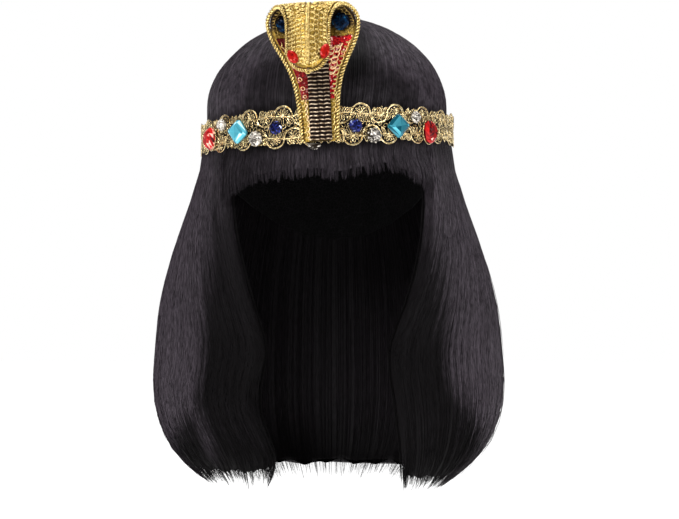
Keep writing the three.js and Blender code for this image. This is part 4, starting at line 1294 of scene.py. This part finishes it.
def braidPiece():
    run, path = braidPath()
    ahead = unit(np.gradient(path, axis=0))
    aside = unit(np.cross(ahead, np.array(braid["upright"])))
    other = np.cross(ahead, aside)

    def helices(part, outside, wire, pitch, count):
        lines = []
        for phase in np.arange(count) / count:
            turn = (2 * np.pi * (run[part] / pitch + phase))[:, None]
            swing = np.cos(turn) * aside[part] + np.sin(turn) * other[part]
            lines.append(path[part] + (outside - wire) * swing)
        return np.stack(lines)

    onHead = np.abs(run - run[-1] / 2) < braid["headReach"]
    first, last = np.flatnonzero(onHead)[[0, -1]]
    # Painted shade: the core between the strands is darkened through the lit attribute, less on the
    # head
    lit = np.where(onHead, braid["headCoreLit"], braid["coreLit"])
    parts = [tubePiece("braid_core", path[None], braid["core"], weave, 6, {"lit": lit})]
    radius, wire = braid["radius"], braid["strandRadius"]
    for part in (slice(0, first + 2), slice(last - 1, None)):
        lines = helices(part, radius, wire, braid["pitch"], braid["strands"])
        parts.append(tubePiece("braid_cord", lines, wire, thread, sides=7))
    radius, wire, part = braid["headRadius"], braid["headWire"], slice(first, last)
    lines = helices(part, radius, wire, braid["headPitch"], braid["headStrands"])
    parts.append(tubePiece("braid_coil", lines, wire, thread, sides=5))
    standsFor(joined(*parts), "hood_braid_cord", "hood_braid")


# The hood's lining: red glitter with a few thread loops, with painted shade on the left and a
# painted sparkle on some flakes
lining = {
    "from": 28.0, "to": 69.0, "half": 0.99, "thick": 0.7, "gap": 0.3, "coilRise": 0.25,
    "rows": 50, "columns": 31, "ragged": 0.7, "hemWaves": (9, 23), "ringSteps": 15,
    "shadeLeft": 0.26, "shadeEdge": (-0.2, 0.3), "shadeTop": (50, 60),
    "color": (0.74, 0.01, 0.016, 1), "dark": (0.16, 0.001, 0.003, 1),
    "shaded": (0.05, 0.0, 0.0, 1), "spark": (1.0, 0.55, 0.5, 1),
    "thread": (0.5, 0.025, 0.015, 1),
    "flakes": 900.0, "flakeEdge": (0.1, 0.7), "sparkEdge": (0.72, 0.78),
    "flakeHeight": 0.0006, "flakeBump": 0.8,
}
redCoils = table(coilNames, (0.4, 29, 60, 4.4, 1.0, 0.24))
goldCoils = table(coilNames, (-0.95, 52, 66, 3.6, 0.9, 0.32), (0.93, 30, 66, 2.9, 1.2, 0.4))
creamCoils = table(coilNames, (0.72, 43, 64, 3.5, 1.9, 0.54), (0.5, 49, 63, 3.4, 1.6, 0.46))
liningRings = table(
    "share along size wire",
    (-0.83, 41.6, 1.15, 0.26),
    (-0.8, 35.4, 1.2, 0.26),
    (-0.75, 30.0, 1.0, 0.26),
)


def ringLine(row, rise):
    turn = np.linspace(0, 2 * np.pi, lining["ringSteps"])
    along = row["along"] + row["size"] * np.sin(turn)
    share = row["share"] + row["size"] * np.cos(turn) / column(hoodRows, "half", along)
    return stripPoint(share, along, rise)


def glitterSurface():
    surface = Surface("red_glitter", roughness=0.3, metallic=0.5, specular=0.2)
    flake = surface.cells(lining["flakes"])
    spark = surface.cells(lining["flakes"], output="Color")
    red = surface.blend(surface.ramp(flake, *lining["flakeEdge"]), lining["color"], lining["dark"])
    # Painted highlight: some flakes take the spark colour; the lit attribute paints shade
    red = surface.blend(surface.ramp(spark, *lining["sparkEdge"]), red, lining["spark"])
    surface.set("color", surface.blend(surface.attribute("lit"), lining["shaded"], red))
    surface.bump(flake, lining["flakeHeight"], lining["flakeBump"])
    return surface


def liningPiece():
    redThread = Surface("red_thread", color=lining["thread"], metallic=0.8, roughness=0.3)
    face = -cobra["thick"] / 2 - lining["gap"]
    share = np.linspace(lining["half"], -lining["half"], lining["columns"])[None, :]
    coarse, fine = lining["hemWaves"]
    ragged = lining["ragged"] * np.sin(fine * share) * np.sin(coarse * share)
    reach = lining["to"] - lining["from"] + ragged
    along = lining["from"] + np.linspace(0, 1, lining["rows"])[:, None] * reach
    upper, lower = [
        stripPoint(share + 0 * along, along, rise) for rise in (face, face - lining["thick"])
    ]
    # Painted shade on the left, deepest towards the top
    dim = lining["shadeLeft"] * (1 - smooth(along, *lining["shadeTop"]))
    lit = dim + (1 - dim) * smooth(share, *lining["shadeEdge"])
    lit = np.concatenate([lit, lit[:, ::-1]], axis=1).ravel()
    parts = [sheetPiece("lining_sheet", upper, lower, glitterSurface(), {"lit": lit})]
    over = face - lining["thick"] - lining["coilRise"]
    for rows, finish in ((redCoils, redThread), (goldCoils, thread), (creamCoils, paleThread)):
        parts += coils(rows, over, finish)
    parts += [threadPiece(ringLine(row, over), row, paleThread) for row in liningRings]
    standsFor(joined(*parts), "hood_lining_glitter", "hood_lining")


# The belly: pale ribs across a dark plate, sewn down by two dark threads
ladder = {
    "from": 0.5, "to": 64.0, "width": 14.6, "aside": 1.3, "back": 4.45, "plate": 1.0,
    "pitch": 2.6, "radius": 0.55, "ribShort": 0.3, "ripple": 0.16, "rippleLength": 5,
    "firstRib": 0.9, "endGap": 0.4, "ribRise": 0.25, "ribDeep": 0.15, "ribWave": 1.7,
    "ribSteps": 25, "ribRoughness": 0.3, "ribGrain": 500.0,
    "seams": (-0.9, 2.6), "seamSteps": 120, "seamRadius": 0.22, "seamSwing": 0.2,
    "seamRise": 0.55, "seamDeep": 0.35,
    "plateColor": (0.006, 0.002, 0.001, 1),
    "ribLight": (0.6, 0.47, 0.34, 1), "ribDark": (0.1, 0.06, 0.03, 1),
}


def ladderPiece():
    half, low, high = ladder["width"] / 2, ladder["from"], ladder["to"]
    gap = ladder["endGap"]
    dark = Surface("ladder_plate", color=ladder["plateColor"], roughness=0.7, specular=0.1)
    tones = ladder["ribLight"], ladder["ribDark"]
    ribGold = goldSurface("ladder_rib", *tones, ladder["ribRoughness"], ladder["ribGrain"])
    x = np.array([-half, half, half, -half]) + ladder["aside"]
    back, face = -ladder["back"], -ladder["back"] - ladder["plate"]
    y = np.array([back, back, face, face])
    rings = np.array([stand(x, y, z + 0 * x) for z in (low, high)])
    plate = meshPiece("ladder_plate", rings, loft(2, 4), dark, rounded=False)
    levels = np.arange(low + ladder["firstRib"], high - gap, ladder["pitch"])[:, None]
    ends = half - ladder["ribShort"]
    across = np.linspace(-ends, ends, ladder["ribSteps"])[None, :]
    ripple = ladder["ripple"] * np.cos(across * 2 * np.pi / ladder["rippleLength"])
    depth = face - ladder["ribRise"] + ladder["ribDeep"] * np.cos(across * ladder["ribWave"])
    ribs = stand(across + ladder["aside"] + 0 * levels, depth + 0 * levels, levels + ripple)
    rise = np.linspace(low + gap, high - gap, ladder["seamSteps"])[None, :]
    turn = rise * 2 * np.pi / ladder["pitch"]
    seams = np.array(ladder["seams"])[:, None] + ladder["aside"]
    seams = seams + ladder["seamSwing"] * np.sin(turn)
    depth = face - ladder["seamRise"] + ladder["seamDeep"] * np.cos(turn) + 0 * seams
    sewn = stand(seams, depth, rise + 0 * seams)
    parts = [
        plate,
        tubePiece("ladder_ribs", ribs, ladder["radius"], ribGold, sides=6),
        tubePiece("ladder_sewing", sewn, ladder["seamRadius"], dark, sides=4),
    ]
    standsFor(joined(*parts), "belly_ladder_ribs", "belly_ladder")


# Stones on the strip's outer (1) or inner (-1) side
eye = {
    "cut": "marquise", "width": 7.0, "height": 11.6, "rise": 2.4, "lift": 1.3, "side": 1,
    "finish": "eye_stone", "slot": "red_stone",
}
hoodStone = {
    "cut": "round", "width": 11.6, "height": 11.6, "rise": 3.6, "lift": 2.1, "side": -1,
    "finish": "teal_stone", "slot": "teal_stone",
}
# shine: how much painted light the stone's facets get
cobraStones = table(
    "name kind along out slant shine",
    ("eye_left", eye, 141.4, -9.6, 14, 0.4),
    ("eye_right", eye, 138.4, 11, -8, 0.27),
    ("hood_stone_left", hoodStone, 79.2, -18.6, 0, 0.22),
    ("hood_stone_right", hoodStone, 79.2, 18.6, 0, 0.22),
)


def cobraStone(name, kind, along, out, slant, shine):
    side = kind["side"]
    half = float(column(hoodRows, "half", along))

    def near(across, ahead, rise=0.0):
        return stripPoint(np.array((out + across) / half), np.array(along + ahead), rise)

    point = near(0, 0, side * (cobra["thick"] / 2 + kind["lift"]))
    ahead = unit(near(0, 0.5) - near(0, -0.5))
    facing = unit(np.cross(ahead, near(0.5, 0) - near(-0.5, 0)) * side)
    up = -ahead * side
    slant = math.radians(slant)
    up = up * math.cos(slant) - np.cross(up, facing) * math.sin(slant)
    piece = stonePiece(name, kind, kind["finish"], shine, point, facing, up)
    standsFor(piece, name + "_cut", name)


hoodPiece()
braidPiece()
liningPiece()
ladderPiece()
for row in cobraStones:
    cobraStone(**row)
print("cobra made")

# Cap: the solid itself, as black knitted net
net = {
    "thread": (0.009, 0.008, 0.009, 1), "hole": (0.003, 0.003, 0.003, 1), "scale": 420.0,
    "edge": (0.03, 0.12), "height": 0.0004, "bump": 0.6, "roughness": 0.85, "specular": 0.1,
}


def netSurface():
    surface = Surface("knitted_net", roughness=net["roughness"], specular=net["specular"])
    hole = surface.ramp(surface.cells(net["scale"], feature="DISTANCE_TO_EDGE"), *net["edge"])
    surface.set("color", surface.blend(hole, net["thread"], net["hole"]))
    surface.bump(1 - hole, net["height"], net["bump"])
    return surface


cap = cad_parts["wig_cap"].data
cap.materials.clear()
cap.materials.append(netSurface().material)
print("cap finished")

# Camera, light and floor
view = {
    "azimuth": 4.0, "distance": 2000.0, "aim": (8.4, 0.0, -160.5), "lens": 151.0, "sensor": 36.0,
    "floorZ": -450.0, "floorHalf": 6000.0, "floorGlow": 0.7, "room": 0.4, "backdrop": 1.0,
}
lamps = table(
    "name at size power",
    ("key", (-560, -1620, 760), 700, 31),
    ("fill", (1520, -960, 300), 700, 16),
    ("top", (100, 200, 1300), 800, 14),
)
aim = Vector(view["aim"]) * mm


def placeCamera():
    turn = math.radians(view["azimuth"])
    camera = bpy.data.objects.new("camera", bpy.data.cameras.new("camera"))
    camera.data.lens = view["lens"]
    camera.data.sensor_width = view["sensor"]
    away = Vector((math.sin(turn), -math.cos(turn), 0))
    camera.location = aim + away * view["distance"] * mm
    camera.rotation_euler = (math.radians(90), 0, turn)
    bpy.context.scene.collection.objects.link(camera)
    bpy.context.scene.camera = camera


def layFloor():
    floor = Surface("floor", color=(0.9, 0.9, 0.9, 1), roughness=0.9)
    floor.set("Emission Color", (1, 1, 1, 1))
    floor.set("Emission Strength", view["floorGlow"])
    half, z = view["floorHalf"], view["floorZ"]
    corners = [(-half, -half, z), (half, -half, z), (half, half, z), (-half, half, z)]
    meshPiece("floor", corners, [(0, 1, 2, 3)], floor)


def lightRoom():
    world = bpy.data.worlds.new("studio")
    world.use_nodes = True
    tree = world.node_tree
    tree.nodes.clear()
    room, backdrop = [
        addNode(tree, "ShaderNodeBackground", {"Color": (1, 1, 1, 1), "Strength": view[part]})
        for part in ("room", "backdrop")
    ]
    seen = addNode(tree, "ShaderNodeLightPath", output="Is Camera Ray")
    both = addNode(tree, "ShaderNodeMixShader", {0: seen, 1: room, 2: backdrop})
    tree.links.new(both.socket, tree.nodes.new("ShaderNodeOutputWorld").inputs["Surface"])
    bpy.context.scene.world = world
    for row in lamps:
        lamp = bpy.data.lights.new(row["name"], "AREA")
        lamp.size = row["size"] * mm
        lamp.energy = row["power"]
        holder = bpy.data.objects.new(row["name"], lamp)
        holder.location = Vector(row["at"]) * mm
        holder.rotation_euler = (aim - holder.location).to_track_quat("-Z", "Y").to_euler()
        bpy.context.scene.collection.objects.link(holder)
    bpy.context.scene.view_settings.view_transform = "Standard"


placeCamera()
layFloor()
lightRoom()
print("stage set")
